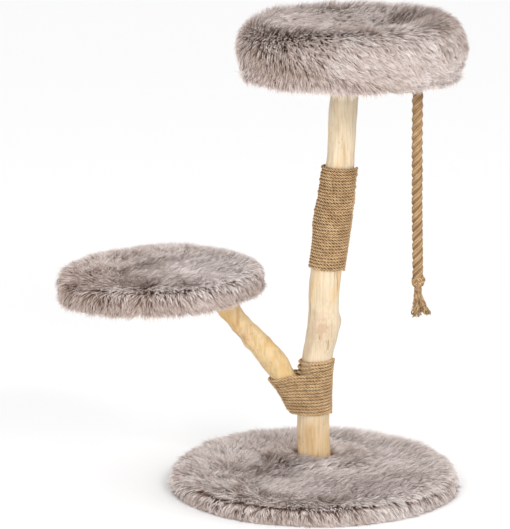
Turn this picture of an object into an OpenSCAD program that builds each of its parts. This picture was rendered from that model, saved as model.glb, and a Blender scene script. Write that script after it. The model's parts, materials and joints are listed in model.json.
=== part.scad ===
// Cat tree: a furry round base, a natural wood trunk with a side branch, a furry round platform on
// the branch, a furry nest bed on the trunk's top, two cord wraps and a rope toy that hangs free.
// Millimetres. Z is up, X runs from the side platform to the rope, and Y runs to the back.
// The origin is the centre of the base's underside, on the floor.

/* [Base] */
// Diameter of the base board
base_board_d = 560; // [480:5:640]
// Thickness of the base board
base_board_t = 22; // [18:1:30]
// Thickness of the felt under the base
felt_t = 3; // [2:0.5:5]
// Diameter of the doubler disc under the trunk
doubler_d = 200; // [150:5:240]
// Thickness of the doubler disc
doubler_t = 12; // [9:1:18]
// How far the trunk stands behind the base's centre
trunk_back = 60; // [40:1:75]

/* [Trunk and branch] */
// Height of the bed board's underside above the floor
bed_height = 876; // [800:2:960]
// Half thickness of the trunk where it is given as 1
trunk_r = 33; // [28:0.5:38]
// Half thickness of the side branch where it is given as 1
branch_r = 24; // [20:0.5:28]
// Height of the platform board's underside where the branch meets it
platform_height = 435; // [400:1:480]
// How far the branch's top end stands to the side of the trunk's foot
branch_reach = 217; // [190:1:240]
// How far the branch's top end comes forward of the trunk's foot
branch_forward = 40; // [0:1:60]

/* [Platform and bed] */
// Diameter of the platform's board
platform_d = 392; // [340:2:450]
// Diameter of the bed's board
bed_d = 400; // [370:2:460]
// Thickness of both boards
shelf_t = 16; // [14:1:20]
// Thickness of the lining under each shelf
lining_t = 2; // [1:0.5:3]
// How far the platform's centre lies beyond the branch's end
platform_overhang = 101; // [60:1:120]
// How far the platform's centre lies forward of the branch's end
platform_forward = 20; // [0:1:40]
// Slope of the platform, down and away from the trunk, in degrees
platform_slope = 3; // [0:0.5:6]
// Thickness of the platform's foam pad
platform_pad_t = 10; // [5:1:20]
// Half thickness of the bed's stuffed rim
bolster_r = 38; // [30:1:44]
// Thickness of the bed's foam pad
bed_pad_t = 25; // [15:1:35]
// How far the bed's centre lies beside the trunk's top
bed_shift = 9; // [0:1:20]

/* [Fur] */
// Depth of the pile on the flat tops
pile_top = 24; // [15:1:30]
// Depth of the pile round the sides
pile_side = 20; // [14:1:25]
// Thickness of the cloth that carries the pile
backing_t = 2; // [1:0.5:3]
// How far the pile hangs below a shelf's underside
fringe_drop = 19; // [10:1:25]
// Width of the edge that is turned under a board and stapled
hem_w = 20; // [15:1:24]

/* [Cord and rope] */
// Diameter of the cord wound round the wood
cord_d = 8; // [6:0.5:10]
// Height of the upper wrap's lower edge
upper_wrap_low = 451; // [440:1:480]
// Height of the upper wrap's upper edge
upper_wrap_high = 676; // [600:1:700]
// Height of the fork wrap's lower edge
fork_wrap_low = 142; // [135:1:155]
// Height of the fork wrap's upper edge on the trunk
fork_wrap_high = 264; // [252:1:280]
// Diameter of the hanging rope
rope_d = 20; // [14:1:22]
// How far the rope hangs to the side of the trunk's foot
rope_side = 207; // [200:1:215]
// How far the rope hangs in front of the base's centre
rope_front = 30; // [25:1:35]

/* [Hardware] */
// Nominal diameter of the bolt and the studs
bolt_d = 8; // [6:1:10]
// Outer diameter of the threaded inserts
insert_d = 12; // [12:1:16]
// Length of the threaded inserts
insert_l = 20; // [15:1:25]
// Diameter of the washer under the base
washer_d = 30; // [24:1:36]

/* [Hidden] */
$fn = 64;

// Clearances
gap = 0.3;          // between pieces that lie side by side
thread_gap = 0.05;  // round a screwed-in thread and a pressed-in insert
hole_gap = 0.5;     // round a bolt in its hole
wrap_gap = 0.6;     // between the wood and the cord wound on it

// Colours
wood = [0.93, 0.84, 0.66];
board = [0.72, 0.60, 0.44];
fur = [0.64, 0.57, 0.53];
felt = [0.30, 0.29, 0.28];
foam = [0.93, 0.91, 0.84];
jute = [0.70, 0.53, 0.35];
zinc = [0.72, 0.73, 0.75];

// Heights, from the floor up
base_under = felt_t;
base_top = base_under + base_board_t;
foot_z = base_top + doubler_t;
trunk_l = bed_height - foot_z;

// Driving points
trunk_at = [0, trunk_back, 0];
branch_top = [-branch_reach, trunk_back - branch_forward, platform_height];

// ---------- Natural wood ----------

trunk_top_x = 64;  // how far the trunk's top leans from above its foot
// The trunk's bends. Each row is a share of its length, the centre's shift in X and in Y and the half
// thickness as a share of trunk_r.
trunk_bends = [
    [-0.10, 0, 1, 1.06], [0.00, 0, 0, 1.05], [0.13, -2, -1, 1.01], [0.25, 3, -2, 0.95], [0.35, 17, 0, 1.00],
    [0.45, 20, 3, 0.98], [0.56, 32, 4, 0.98], [0.66, 42, 2, 1.00], [0.76, 50, 0, 0.90], [0.88, 57, -2, 0.88],
    [1.00, trunk_top_x, 0, 0.88], [1.10, 70, 1, 0.88]
];

// Knots that swell the trunk: share of its length, direction in degrees, height and half width.
trunk_knots = [
    [0.35, 5, 4, 24], [0.35, 265, 2.5, 34], [0.62, 185, 4, 26], [0.75, 10, 3, 26], [0.09, 200, 2, 26],
    [0.90, 150, 2.5, 24], [0.48, 75, 3, 26]
];

// The branch's bends, from its foot against the trunk to the platform. Each row is a share of its height,
// the share of its reach, and the half thickness as a share of branch_r.
branch_bends = [
    [-0.20, -0.04, 0.90], [0.00, 0.10, 0.92], [0.14, 0.18, 1.02], [0.28, 0.31, 1.05], [0.44, 0.43, 1.05],
    [0.53, 0.545, 1.04], [0.61, 0.64, 0.99], [0.74, 0.79, 0.93], [1.00, 1.00, 0.95], [1.20, 1.15, 0.97]
];
branch_foot_z = fork_wrap_low + 5;
branch_stretch = 1.25;  // a slanting stick cut level is an ellipse, longer in X
branch_knots = [[0.46, 185, 4, 18], [0.56, 10, 3, 22]];

// Catmull-Rom curve through the rows of a list whose first column rises.
function row_at(rows, s, i = 1) = s < rows[i + 1][0] || i + 3 >= len(rows) ? i : row_at(rows, s, i + 1);
function cubic(a, b, c, d, t) =
    0.5 * (2 * b + (c - a) * t + (2 * a - 5 * b + 4 * c - d) * t * t + (3 * b - a - 3 * c + d) * t * t * t);
function curve_at(rows, s) =
    let (i = row_at(rows, s), t = (s - rows[i][0]) / (rows[i + 1][0] - rows[i][0]))
    cubic(rows[i - 1], rows[i], rows[i + 1], rows[i + 2], t);

// Swelling of all knots at a share s of the length and a direction a.
function turned(a, b) = abs((a - b + 540) % 360 - 180);
function swell(knots, s, a, length, r, i = 0) =
    i == len(knots) ? 0
    : let (k = knots[i], along = (s - k[0]) * length / k[3], round = turned(a, k[1]) * PI / 180 * r / k[3])
      k[2] * exp(-along * along - round * round) + swell(knots, s, a, length, r, i + 1);

// Level rings of the trunk and of the branch at a height z, thickened by extra.
wood_sides = 32;
function trunk_ring(z, extra = 0) =
    let (s = (z - foot_z) / trunk_l, c = curve_at(trunk_bends, s), r = c[3] * trunk_r)
    [for (k = [0:wood_sides - 1])
        let (a = 360 * k / wood_sides, q = r + extra + swell(trunk_knots, s, a, trunk_l, r))
        [c[1] + q * cos(a), trunk_back + c[2] + q * sin(a), z]];
function branch_ring(z, extra = 0) =
    let (l = platform_height - branch_foot_z, s = (z - branch_foot_z) / l, c = curve_at(branch_bends, s),
         r = c[2] * branch_r, x = -branch_reach * c[1], y = trunk_back - branch_forward * s)
    [for (k = [0:wood_sides - 1])
        let (a = 360 * k / wood_sides, q = r + swell(branch_knots, s, a, l, r))
        [x + (q * branch_stretch + extra) * cos(a), y + (q + extra) * sin(a), z]];

// Closed solid through a stack of rings that have the same number of points, counterclockwise from above.
module skin(rings) {
    n = len(rings[0]);
    last = len(rings) - 1;
    sides = [for (i = [0:last - 1]) for (j = [0:n - 1])
        let (k = (j + 1) % n)
        each [[i * n + j, (i + 1) * n + j, (i + 1) * n + k], [i * n + j, (i + 1) * n + k, i * n + k]]];
    foot = [for (j = [0:n - 1]) j];
    head = [for (j = [n - 1:-1:0]) last * n + j];
    polyhedron(points = [for (r = rings) each r], faces = concat([foot], sides, [head]), convexity = 6);
}
wood_step = 15;
function steps(low, high) =
    let (n = ceil((high - low) / wood_step))
    [for (i = [0:n]) low + (high - low) * i / n];
module trunk_part(low, high, extra = 0) {
    skin([for (z = steps(low, high)) trunk_ring(z, extra)]);
}
module branch_part(low, high, extra = 0) {
    skin([for (z = steps(low, high)) branch_ring(z, extra)]);
}

// ---------- Places ----------

module at_foot() {
    translate([0, trunk_back, 0]) children();
}
module at_bed() {  // on the bed board's underside, at the trunk's top
    translate([trunk_top_x, trunk_back, bed_height]) children();
}
module at_platform() {  // on the platform board's underside, at the branch's end
    translate(branch_top) rotate([0, -platform_slope, 0]) children();
}
bed_centre = [trunk_top_x + bed_shift, trunk_back];
platform_centre = [-platform_overhang, -platform_forward];  // from the branch's end, along the board
rope_at = [rope_side, -rope_front];

// ---------- Fasteners ----------

stud_l = 44;
stud_in_board = shelf_t - 2;
tee_flange_d = 22;
tee_flange_t = 1.5;
tee_barrel_d = bolt_d + 3;
tee_barrel_l = shelf_t - 4;
branch_stud_x = 7;  // the stud stands off the branch's centre, where there is wood below it
insert_hole_l = stud_l - stud_in_board + 2;

module insert() {  // threaded insert that fills a hole down from z 0
    color(zinc) difference() {
        translate([0, 0, -insert_l]) cylinder(d = insert_d, h = insert_l);
        translate([0, 0, -insert_l - 1]) cylinder(d = bolt_d + 2 * thread_gap, h = insert_l + 2);
    }
}
module insert_hole() {
    translate([0, 0, -insert_l]) cylinder(d = insert_d + 2 * thread_gap, h = insert_l + 1);
    translate([0, 0, -insert_hole_l]) cylinder(d = bolt_d + 2 * hole_gap, h = insert_hole_l + 1);
}
module stud() {
    color(zinc) translate([0, 0, stud_in_board - stud_l]) cylinder(d = bolt_d, h = stud_l);
}
module tee_nut() {  // its flange lies on the board's top, and its barrel goes down into the board
    color(zinc) difference() {
        union() {
            translate([0, 0, shelf_t - tee_barrel_l]) cylinder(d = tee_barrel_d, h = tee_barrel_l);
            translate([0, 0, shelf_t]) cylinder(d = tee_flange_d, h = tee_flange_t);
        }
        cylinder(d = bolt_d + 2 * thread_gap, h = 2 * shelf_t);
    }
}
module tee_hole() {
    translate([0, 0, -1]) cylinder(d = bolt_d + 2 * hole_gap, h = shelf_t + 2);
    translate([0, 0, shelf_t - tee_barrel_l]) cylinder(d = tee_barrel_d + 2 * thread_gap, h = shelf_t);
}
module flange_recess() {
    cylinder(d = tee_flange_d + 2 * hole_gap, h = tee_flange_t + hole_gap);
}

staple_w = 12;
staple_wire = 1.2;
staple_leg = 9;
module staple(width, leg) {  // crown on z 0 along Y, legs up
    translate([-staple_wire / 2, -width / 2, 0]) {
        cube([staple_wire, staple_wire, leg]);
        translate([0, width - staple_wire, 0]) cube([staple_wire, staple_wire, leg]);
        cube([staple_wire, width, staple_wire]);
    }
}
module staple_ring(r, count) {
    color(zinc) for (k = [0:count - 1])
        rotate(360 * (k + 0.5) / count) translate([r, 0, 0]) staple(staple_w, staple_leg);
}

screw_d = 4;
screw_head_d = 8;
screw_head_h = 3;
module wood_screw(length) {  // head's face on z 0, point up
    cylinder(d1 = screw_head_d, d2 = screw_d, h = screw_head_h);
    translate([0, 0, screw_head_h]) cylinder(d = screw_d, h = length - screw_head_h - screw_d);
    translate([0, 0, length - screw_d]) cylinder(d1 = screw_d, d2 = 0.6, h = screw_d);
}

// ---------- Outlines of the covers ----------

// Points on an arc about c, from angle a to angle b.
function arc(c, r, a, b, n = 8) =
    [for (i = [0:n]) let (t = a + (b - a) * i / n) c + r * [cos(t), sin(t)]];

// ---------- Base ----------

bolt_head_af = 1.625 * bolt_d;
bolt_head_h = 5.3;
bolt_head_d = bolt_head_af / cos(30);
washer_t = 2;
recess_d = washer_d + 4;
recess_h = bolt_head_h + washer_t + 1.5;
washer_z = base_under + recess_h - washer_t;
bolt_past_insert = 6;
bolt_l = foot_z - washer_z - washer_t + insert_l + bolt_past_insert;
doubler_screw_ring = 0.38 * doubler_d;
base_cover_d = base_board_d + 2 * backing_t;
base_cover_top = base_top + backing_t + pile_top;
base_staple_count = 28;

module base_board() {
    color(board) difference() {
        translate([0, 0, base_under]) cylinder(d = base_board_d, h = base_board_t, $fn = 96);
        at_foot() translate([0, 0, base_under - 1]) {
            cylinder(d = bolt_d + 2 * hole_gap, h = base_board_t + 2);
            cylinder(d = recess_d, h = recess_h + 1);
        }
    }
}
module base_doubler() {
    color(board) at_foot() difference() {
        translate([0, 0, base_top]) cylinder(d = doubler_d, h = doubler_t);
        translate([0, 0, base_top - 1]) cylinder(d = bolt_d + 2 * hole_gap, h = doubler_t + 2);
    }
}
module doubler_screws() {
    color(zinc) at_foot() for (a = [45:90:315])
        rotate(a) translate([doubler_screw_ring, 0, base_under]) wood_screw(base_board_t + doubler_t - 3);
}
module base_felt() {
    color(felt) difference() {
        cylinder(d = base_board_d - 2 * hem_w - 2 * gap, h = felt_t, $fn = 96);
        at_foot() translate([0, 0, -1]) cylinder(d = recess_d + 2, h = felt_t + 2);
    }
}
module base_washer() {
    color(zinc) at_foot() translate([0, 0, washer_z]) difference() {
        cylinder(d = washer_d, h = washer_t);
        translate([0, 0, -1]) cylinder(d = bolt_d + 2 * hole_gap, h = washer_t + 2);
    }
}
module base_bolt() {
    color(zinc) at_foot() translate([0, 0, washer_z]) {
        translate([0, 0, -bolt_head_h]) cylinder(d = bolt_head_d, h = bolt_head_h, $fn = 6);
        cylinder(d = bolt_d, h = bolt_l + washer_t);
    }
}
module base_insert() {
    at_foot() translate([0, 0, foot_z]) mirror([0, 0, 1]) insert();
}

// The base cover in section: down its outside to the floor, in under the board, and back over the board.
base_skirt_r = base_cover_d / 2 + pile_side;
base_shoulder = 20;  // radius of the pile's turn from top to side
base_heel = 9;       // radius of its turn in at the floor
base_section = concat(
    [[0, base_cover_top]],
    arc([base_skirt_r - base_shoulder, base_cover_top - base_shoulder], base_shoulder, 90, 0),
    arc([base_skirt_r - base_heel, base_heel], base_heel, 0, -90),
    [[base_board_d / 2 - hem_w, 0], [base_board_d / 2 - hem_w, base_under], [base_board_d / 2, base_under],
     [base_board_d / 2, base_top], [0, base_top]]
);
mound_d = doubler_d + 34;
module base_fur() {
    color(fur) difference() {
        union() {
            rotate_extrude($fn = 96) polygon(base_section);
            at_foot() translate([0, 0, base_top + backing_t])
                cylinder(d1 = mound_d + pile_top, d2 = doubler_d - 20, h = doubler_t + pile_top);
        }
        at_foot() translate([0, 0, base_top - 1]) {
            cylinder(d = doubler_d, h = doubler_t + 1);
            cylinder(r = 1.06 * trunk_r + 4, h = doubler_t + pile_top + 10);
        }
    }
}
module base_staples() {
    translate([0, 0, 1]) staple_ring(base_board_d / 2 - hem_w / 2, base_staple_count);
}

// ---------- Trunk, branch and wraps ----------

module trunk() {
    color(wood) difference() {
        trunk_part(foot_z, bed_height);
        at_foot() translate([0, 0, foot_z]) mirror([0, 0, 1]) insert_hole();
        at_bed() insert_hole();
    }
}
branch_joint_gap = gap;
branch_run_on = 30;  // the branch is drawn past its end and then cut to the board's slope
module above_platform_board() {
    at_platform() translate([-150, -150, 0]) cube([300, 300, 200]);
}
module branch() {
    color(wood) difference() {
        branch_part(branch_foot_z, platform_height + branch_run_on);
        above_platform_board();
        trunk_part(branch_foot_z - wood_step, platform_height - 90, branch_joint_gap);
        at_platform() translate([branch_stud_x, 0, 0]) insert_hole();
    }
}
fork_screw_z = [182, 212];
fork_screw_l = 66;
fork_screw_sunk = 9;
module branch_screws() {
    color(zinc) for (z = fork_screw_z)
        let (outer = branch_ring(z)[wood_sides / 2])
        translate([outer[0] + fork_screw_sunk, outer[1], z]) rotate([0, 90, 0]) wood_screw(fork_screw_l);
}

cord_out = wrap_gap + cord_d;  // the wrap's outside, from the wood
module upper_wrap() {
    color(jute) difference() {
        trunk_part(upper_wrap_low, upper_wrap_high, cord_out);
        trunk_part(upper_wrap_low - wood_step, upper_wrap_high + wood_step, wrap_gap);
    }
}

// The fork wrap goes round trunk and branch together, up to a slanting edge between them, and round the
// trunk alone above that.
fork_edge = [-46, 236];  // where the slanting edge meets the trunk's own wrap, in X and Z
fork_edge_slope = 13;
fork_rings = 8;
// How far points reach in direction a, and how far their common outline lies from c in direction a.
function far_side(points, a) = max([for (p = points) p[0] * cos(a) + p[1] * sin(a)]);
function outline_r(points, c, a) =
    min([for (b = [a - 76:4:a + 76]) (far_side(points, b) - c[0] * cos(b) - c[1] * sin(b)) / cos(a - b)]);
function fork_point(z, k) =
    let (points = concat(trunk_ring(z, cord_out), branch_ring(z, cord_out)),
         c = [far_side(points, 0) - far_side(points, 180), far_side(points, 90) - far_side(points, 270)] / 2,
         a = 360 * k / wood_sides, r = outline_r(points, c, a))
    [c[0] + r * cos(a), c[1] + r * sin(a), z];
function fork_ring(z) = [for (k = [0:wood_sides - 1]) fork_point(z, k)];
function edge_z(x) = fork_edge[1] + min(0, x - fork_edge[0]) * tan(fork_edge_slope);
function edge_point(z, k, tries = 4) =
    let (p = fork_point(z, k))
    tries == 0 ? [p[0], p[1], edge_z(p[0])] : edge_point(edge_z(p[0]), k, tries - 1);
module fork_outside() {
    top = fork_edge[1];
    full = top - 22;  // up to here the wrap goes all the way round both
    skin(concat(
        [for (i = [0:fork_rings]) fork_ring(fork_wrap_low + (full - fork_wrap_low) * i / fork_rings)],
        [[for (k = [0:wood_sides - 1]) edge_point(top, k)]],
        [for (z = [top + 2, (top + fork_wrap_high) / 2, fork_wrap_high]) trunk_ring(z, cord_out)]
    ));
}
module fork_wrap() {
    color(jute) difference() {
        fork_outside();
        trunk_part(fork_wrap_low - wood_step, fork_wrap_high + wood_step, wrap_gap);
        branch_part(fork_wrap_low - wood_step, fork_edge[1] + 3 * wood_step, wrap_gap);
    }
}
wrap_staple_z = [fork_wrap_low + cord_d / 2, fork_wrap_high - cord_d / 2,
                 upper_wrap_low + cord_d / 2, upper_wrap_high - cord_d / 2];
module wrap_staples() {  // each holds a wrap's end down at the back of the trunk
    color(zinc) for (z = wrap_staple_z)
        let (back = trunk_ring(z, cord_out)[wood_sides / 4])
        translate([back[0], back[1] + staple_wire, z]) rotate([90, 0, 0]) rotate(90)
            staple(cord_d + 2 * staple_wire, cord_out + staple_wire + 6);
}

// ---------- Platform ----------

shelf_shoulder = 18;
fringe_r = 10;  // radius of the hanging fringe's lower edge
shelf_staple_count = 20;
platform_cover_top = shelf_t + platform_pad_t + pile_top;
platform_pad_d = platform_d - 2 * backing_t;

module disc(d, t, z = 0) {
    translate([0, 0, z]) cylinder(d = d, h = t, $fn = 96);
}
module platform_board() {
    color(board) at_platform() difference() {
        translate(platform_centre) disc(platform_d, shelf_t);
        translate([branch_stud_x, 0, 0]) tee_hole();
    }
}
module platform_pad() {
    color(foam) at_platform() difference() {
        translate(platform_centre) disc(platform_pad_d, platform_pad_t, shelf_t);
        translate([branch_stud_x, 0, shelf_t - 0.01]) flange_recess();
    }
}
// The platform cover in section, from its top out and down to the fringe, then in under the board.
platform_r = platform_d / 2;
platform_cover_r = platform_r + backing_t + pile_side;
platform_section = concat(
    [[0, platform_cover_top]],
    arc([platform_cover_r - shelf_shoulder, platform_cover_top - shelf_shoulder], shelf_shoulder, 90, 0),
    arc([platform_cover_r - fringe_r, fringe_r - fringe_drop], fringe_r, 0, -90, 4),
    [[platform_r, -backing_t], [platform_r - hem_w, -backing_t], [platform_r - hem_w, 0], [platform_r, 0],
     [platform_r, shelf_t], [platform_pad_d / 2, shelf_t], [platform_pad_d / 2, shelf_t + platform_pad_t],
     [0, shelf_t + platform_pad_t]]
);
module platform_fur() {
    color(fur) at_platform() translate(platform_centre) rotate_extrude($fn = 96) polygon(platform_section);
}
module platform_staples() {
    at_platform() translate([each platform_centre, -backing_t + 0.5])
        staple_ring(platform_d / 2 - hem_w / 2, shelf_staple_count);
}
function lining_d(board_d) = board_d - 2 * hem_w - 2 * gap;
lining_hole_gap = 4;
module platform_lining() {
    color(felt) difference() {
        at_platform() translate(platform_centre) disc(lining_d(platform_d), lining_t, -lining_t);
        at_platform() translate([0, 0, -2 * lining_t]) scale([branch_stretch, 1, 1])
            cylinder(r = branch_r + lining_hole_gap, h = 3 * lining_t);
    }
}
module platform_tee_nut() {
    at_platform() translate([branch_stud_x, 0, 0]) tee_nut();
}
module platform_stud() {
    at_platform() translate([branch_stud_x, 0, 0]) stud();
}
module platform_insert() {
    at_platform() translate([branch_stud_x, 0, 0]) insert();
}

// ---------- Bed ----------

bolster_sink = 2;  // the rim is pressed flat where it lies on the board
bolster_over = 18;  // how far the rim stands out past the board
bolster_ring_r = bed_d / 2 + bolster_over - bolster_r;
bolster_z = shelf_t + bolster_r - bolster_sink;
bed_pad_d = 2 * (bolster_ring_r - bolster_r) - 2;
bed_pile = pile_top;
rope_hole_d = rope_d + 2;
stop_knot_r = 0.9 * rope_d;
knot_gap = 1.5;  // between the stop knot and the padding round it
module in_bed() {
    translate([each bed_centre, bed_height]) children();
}
module at_rope(z) {
    translate([each rope_at, z]) children();
}
module stop_knot_ball(extra = 0) {  // the knot on the bed board, thickened by extra
    at_rope(bed_height + shelf_t + 0.8 * stop_knot_r) sphere(r = stop_knot_r + extra);
}

module bed_board() {
    color(board) difference() {
        in_bed() disc(bed_d, shelf_t);
        at_bed() tee_hole();
        at_rope(bed_height - 1) cylinder(d = rope_hole_d, h = shelf_t + 2);
    }
}
module bed_pad() {
    color(foam) difference() {
        in_bed() disc(bed_pad_d, bed_pad_t, shelf_t);
        at_bed() translate([0, 0, shelf_t - 0.01]) flange_recess();
        stop_knot_ball(knot_gap);
    }
}
module bed_bolster() {
    color(foam) difference() {
        in_bed() rotate_extrude($fn = 96) translate([bolster_ring_r, bolster_z]) circle(r = bolster_r);
        in_bed() disc(2 * bed_d, 2 * bolster_sink, shelf_t - 2 * bolster_sink);
        at_rope(bed_height) cylinder(r = stop_knot_r + knot_gap, h = shelf_t + 2 * stop_knot_r + 1);
    }
}
// The bed cover in section: from the middle of the nest up over the rim, down to the fringe, in under the
// board, and back over the rim and the pad.
bed_out_r = bolster_r + bed_pile;
bed_floor_z = shelf_t + bed_pad_t + 0.8 * bed_pile;
bed_dip_a = 180 + asin((bolster_z - bed_floor_z) / bed_out_r);
rim_clear = bolster_r + gap;  // the arc's chords stay outside the rim
rim_in_a = 180 - asin((shelf_t + bed_pad_t + gap - bolster_z) / rim_clear);
rim_foot_a = -acos((bed_d / 2 + gap - bolster_ring_r) / rim_clear);
bed_section = concat(
    [[0, bed_floor_z]],
    arc([bolster_ring_r, bolster_z], bed_out_r, bed_dip_a, 0, 16),
    arc([bolster_ring_r + bed_out_r - fringe_r - 6, fringe_r - fringe_drop], fringe_r, -20, -110, 4),
    [[bed_d / 2 + 2, -backing_t], [bed_d / 2 - hem_w, -backing_t], [bed_d / 2 - hem_w, 0],
     [bed_d / 2 + gap, 0]],
    arc([bolster_ring_r, bolster_z], rim_clear, rim_foot_a, rim_in_a, 32),
    [[0, shelf_t + bed_pad_t + gap]]
);
module bed_fur() {
    color(fur) difference() {
        in_bed() rotate_extrude($fn = 96) polygon(bed_section);
        stop_knot_ball(gap);
    }
}
module bed_staples() {
    in_bed() translate([0, 0, -backing_t + 0.5]) staple_ring(bed_d / 2 - hem_w / 2, shelf_staple_count);
}
module bed_lining() {
    color(felt) difference() {
        in_bed() disc(lining_d(bed_d), lining_t, -lining_t);
        at_bed() translate([0, 0, -2 * lining_t]) cylinder(r = trunk_r + lining_hole_gap, h = 3 * lining_t);
        at_rope(bed_height - 2 * lining_t) cylinder(d = rope_hole_d, h = 3 * lining_t);
    }
}
module bed_tee_nut() {
    at_bed() tee_nut();
}
module bed_stud() {
    at_bed() stud();
}
module bed_insert() {
    at_bed() insert();
}

// ---------- Hanging rope ----------

// It swings sideways about Y at its upper pivot and to and fro about X at its lower pivot.
rope_pivot_gap = 2;
pivot_spacing = 22;
rope_stub_z = bed_height - lining_t;
side_pivot_z = rope_stub_z - rope_pivot_gap - rope_d / 2;
fore_pivot_z = side_pivot_z - pivot_spacing;
rope_start_z = fore_pivot_z - rope_d / 2 - rope_pivot_gap;
// The rope's route below its pivots: X and Y from where it hangs, and how far down.
rope_route = [
    [0, 0, 0], [0, 0, 50], [0, 0, 100], [1, 1, 150], [1, 1, 200], [2, 1, 250], [3, 0, 300], [4, 0, 350],
    [5, 0, 390]
];
rope_last = rope_route[len(rope_route) - 1];
rope_end = [rope_at[0] + rope_last[0], rope_at[1] + rope_last[1], rope_start_z - rope_last[2]];
whipping_l = 22;
whipping_t = 2.5;
whipping_gap = 0.8;
tassel_l = 60;
tassel_gap = 0.5;
tassel_splay = 7;  // how far its bunches spread, in degrees
tassel_lean = 12;  // how far it leans away from the trunk, in degrees

module rope_stop_knot() {
    color(jute) {
        at_rope(rope_stub_z) cylinder(d = rope_d, h = shelf_t + lining_t + stop_knot_r);
        intersection() {
            stop_knot_ball();
            at_rope(bed_height + shelf_t) cylinder(r = 2 * stop_knot_r, h = 3 * stop_knot_r);
        }
    }
}
module rope_neck() {
    color(jute) {
        at_rope(side_pivot_z) sphere(d = rope_d);
        at_rope(fore_pivot_z) cylinder(d = rope_d, h = pivot_spacing);
        at_rope(fore_pivot_z) sphere(d = rope_d);
    }
}
rope_sides = 12;
function rope_ring(p) =
    [for (k = [0:rope_sides - 1]) let (a = 360 * k / rope_sides)
        [p[0] + rope_d / 2 * cos(a), p[1] + rope_d / 2 * sin(a), -p[2]]];
module hanging_rope() {
    color(jute) at_rope(rope_start_z) skin([for (i = [len(rope_route) - 1:-1:0]) rope_ring(rope_route[i])]);
}
module rope_whipping() {
    color(jute) translate(rope_end) difference() {
        cylinder(d = rope_d + 2 * whipping_t, h = whipping_l);
        translate([0, 0, -1]) cylinder(d = rope_d + 2 * whipping_gap, h = whipping_l + 2);
    }
}
module rope_tassel() {
    strand_d = 0.52 * rope_d;
    color(jute) translate(rope_end - [0, 0, tassel_gap]) for (a = [80, 200, 320])
        rotate([0, 180 - tassel_lean, 0]) rotate(a) translate([0.3 * rope_d, 0, 0])
            rotate([0, tassel_splay, 0]) translate([0, 0, 0.5 * strand_d])
                cylinder(d1 = strand_d, d2 = 1.35 * strand_d, h = tassel_l);
}

base_board();
base_doubler();
doubler_screws();
base_fur();
base_staples();
base_felt();
base_bolt();
base_washer();
base_insert();
trunk();
branch();
branch_screws();
fork_wrap();
upper_wrap();
wrap_staples();
platform_board();
platform_pad();
platform_fur();
platform_staples();
platform_lining();
platform_tee_nut();
platform_stud();
platform_insert();
bed_board();
bed_pad();
bed_bolster();
bed_fur();
bed_staples();
bed_lining();
bed_tee_nut();
bed_stud();
bed_insert();
rope_stop_knot();
rope_neck();
hanging_rope();
rope_whipping();
rope_tassel();
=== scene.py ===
# Cat tree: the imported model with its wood, wound cord, rope and long fur. Metres; Z up, X to the rope,
# Y to the back, with the origin under the base's centre.
import json
import math

import bmesh
import bpy
import numpy as np
from mathutils import Euler, Matrix, Vector, noise


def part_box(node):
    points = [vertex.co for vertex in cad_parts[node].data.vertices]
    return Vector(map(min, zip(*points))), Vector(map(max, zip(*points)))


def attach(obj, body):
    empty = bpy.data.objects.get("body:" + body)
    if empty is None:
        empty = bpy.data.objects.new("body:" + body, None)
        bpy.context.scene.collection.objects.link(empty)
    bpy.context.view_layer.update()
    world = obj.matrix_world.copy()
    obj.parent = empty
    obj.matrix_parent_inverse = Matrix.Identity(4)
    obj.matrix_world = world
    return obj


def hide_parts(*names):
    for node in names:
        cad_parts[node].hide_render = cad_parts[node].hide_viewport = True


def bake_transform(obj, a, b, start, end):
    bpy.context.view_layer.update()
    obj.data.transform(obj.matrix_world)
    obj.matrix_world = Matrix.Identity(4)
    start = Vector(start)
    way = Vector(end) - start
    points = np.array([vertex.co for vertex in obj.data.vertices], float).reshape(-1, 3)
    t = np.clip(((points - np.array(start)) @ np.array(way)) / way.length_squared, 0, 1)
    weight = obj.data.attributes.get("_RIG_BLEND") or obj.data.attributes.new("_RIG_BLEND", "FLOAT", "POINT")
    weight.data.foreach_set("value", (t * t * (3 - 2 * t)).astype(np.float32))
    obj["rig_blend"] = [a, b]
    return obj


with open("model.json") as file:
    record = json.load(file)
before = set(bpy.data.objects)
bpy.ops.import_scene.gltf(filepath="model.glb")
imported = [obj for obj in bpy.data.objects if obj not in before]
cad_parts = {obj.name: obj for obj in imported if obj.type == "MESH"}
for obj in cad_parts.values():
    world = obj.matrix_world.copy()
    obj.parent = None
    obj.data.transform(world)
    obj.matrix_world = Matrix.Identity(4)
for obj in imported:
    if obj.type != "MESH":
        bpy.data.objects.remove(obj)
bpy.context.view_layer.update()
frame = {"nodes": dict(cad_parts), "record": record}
scene = bpy.context.scene
MM = 0.001
TAU = 2 * math.pi


# ---------- Node graphs ----------


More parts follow.
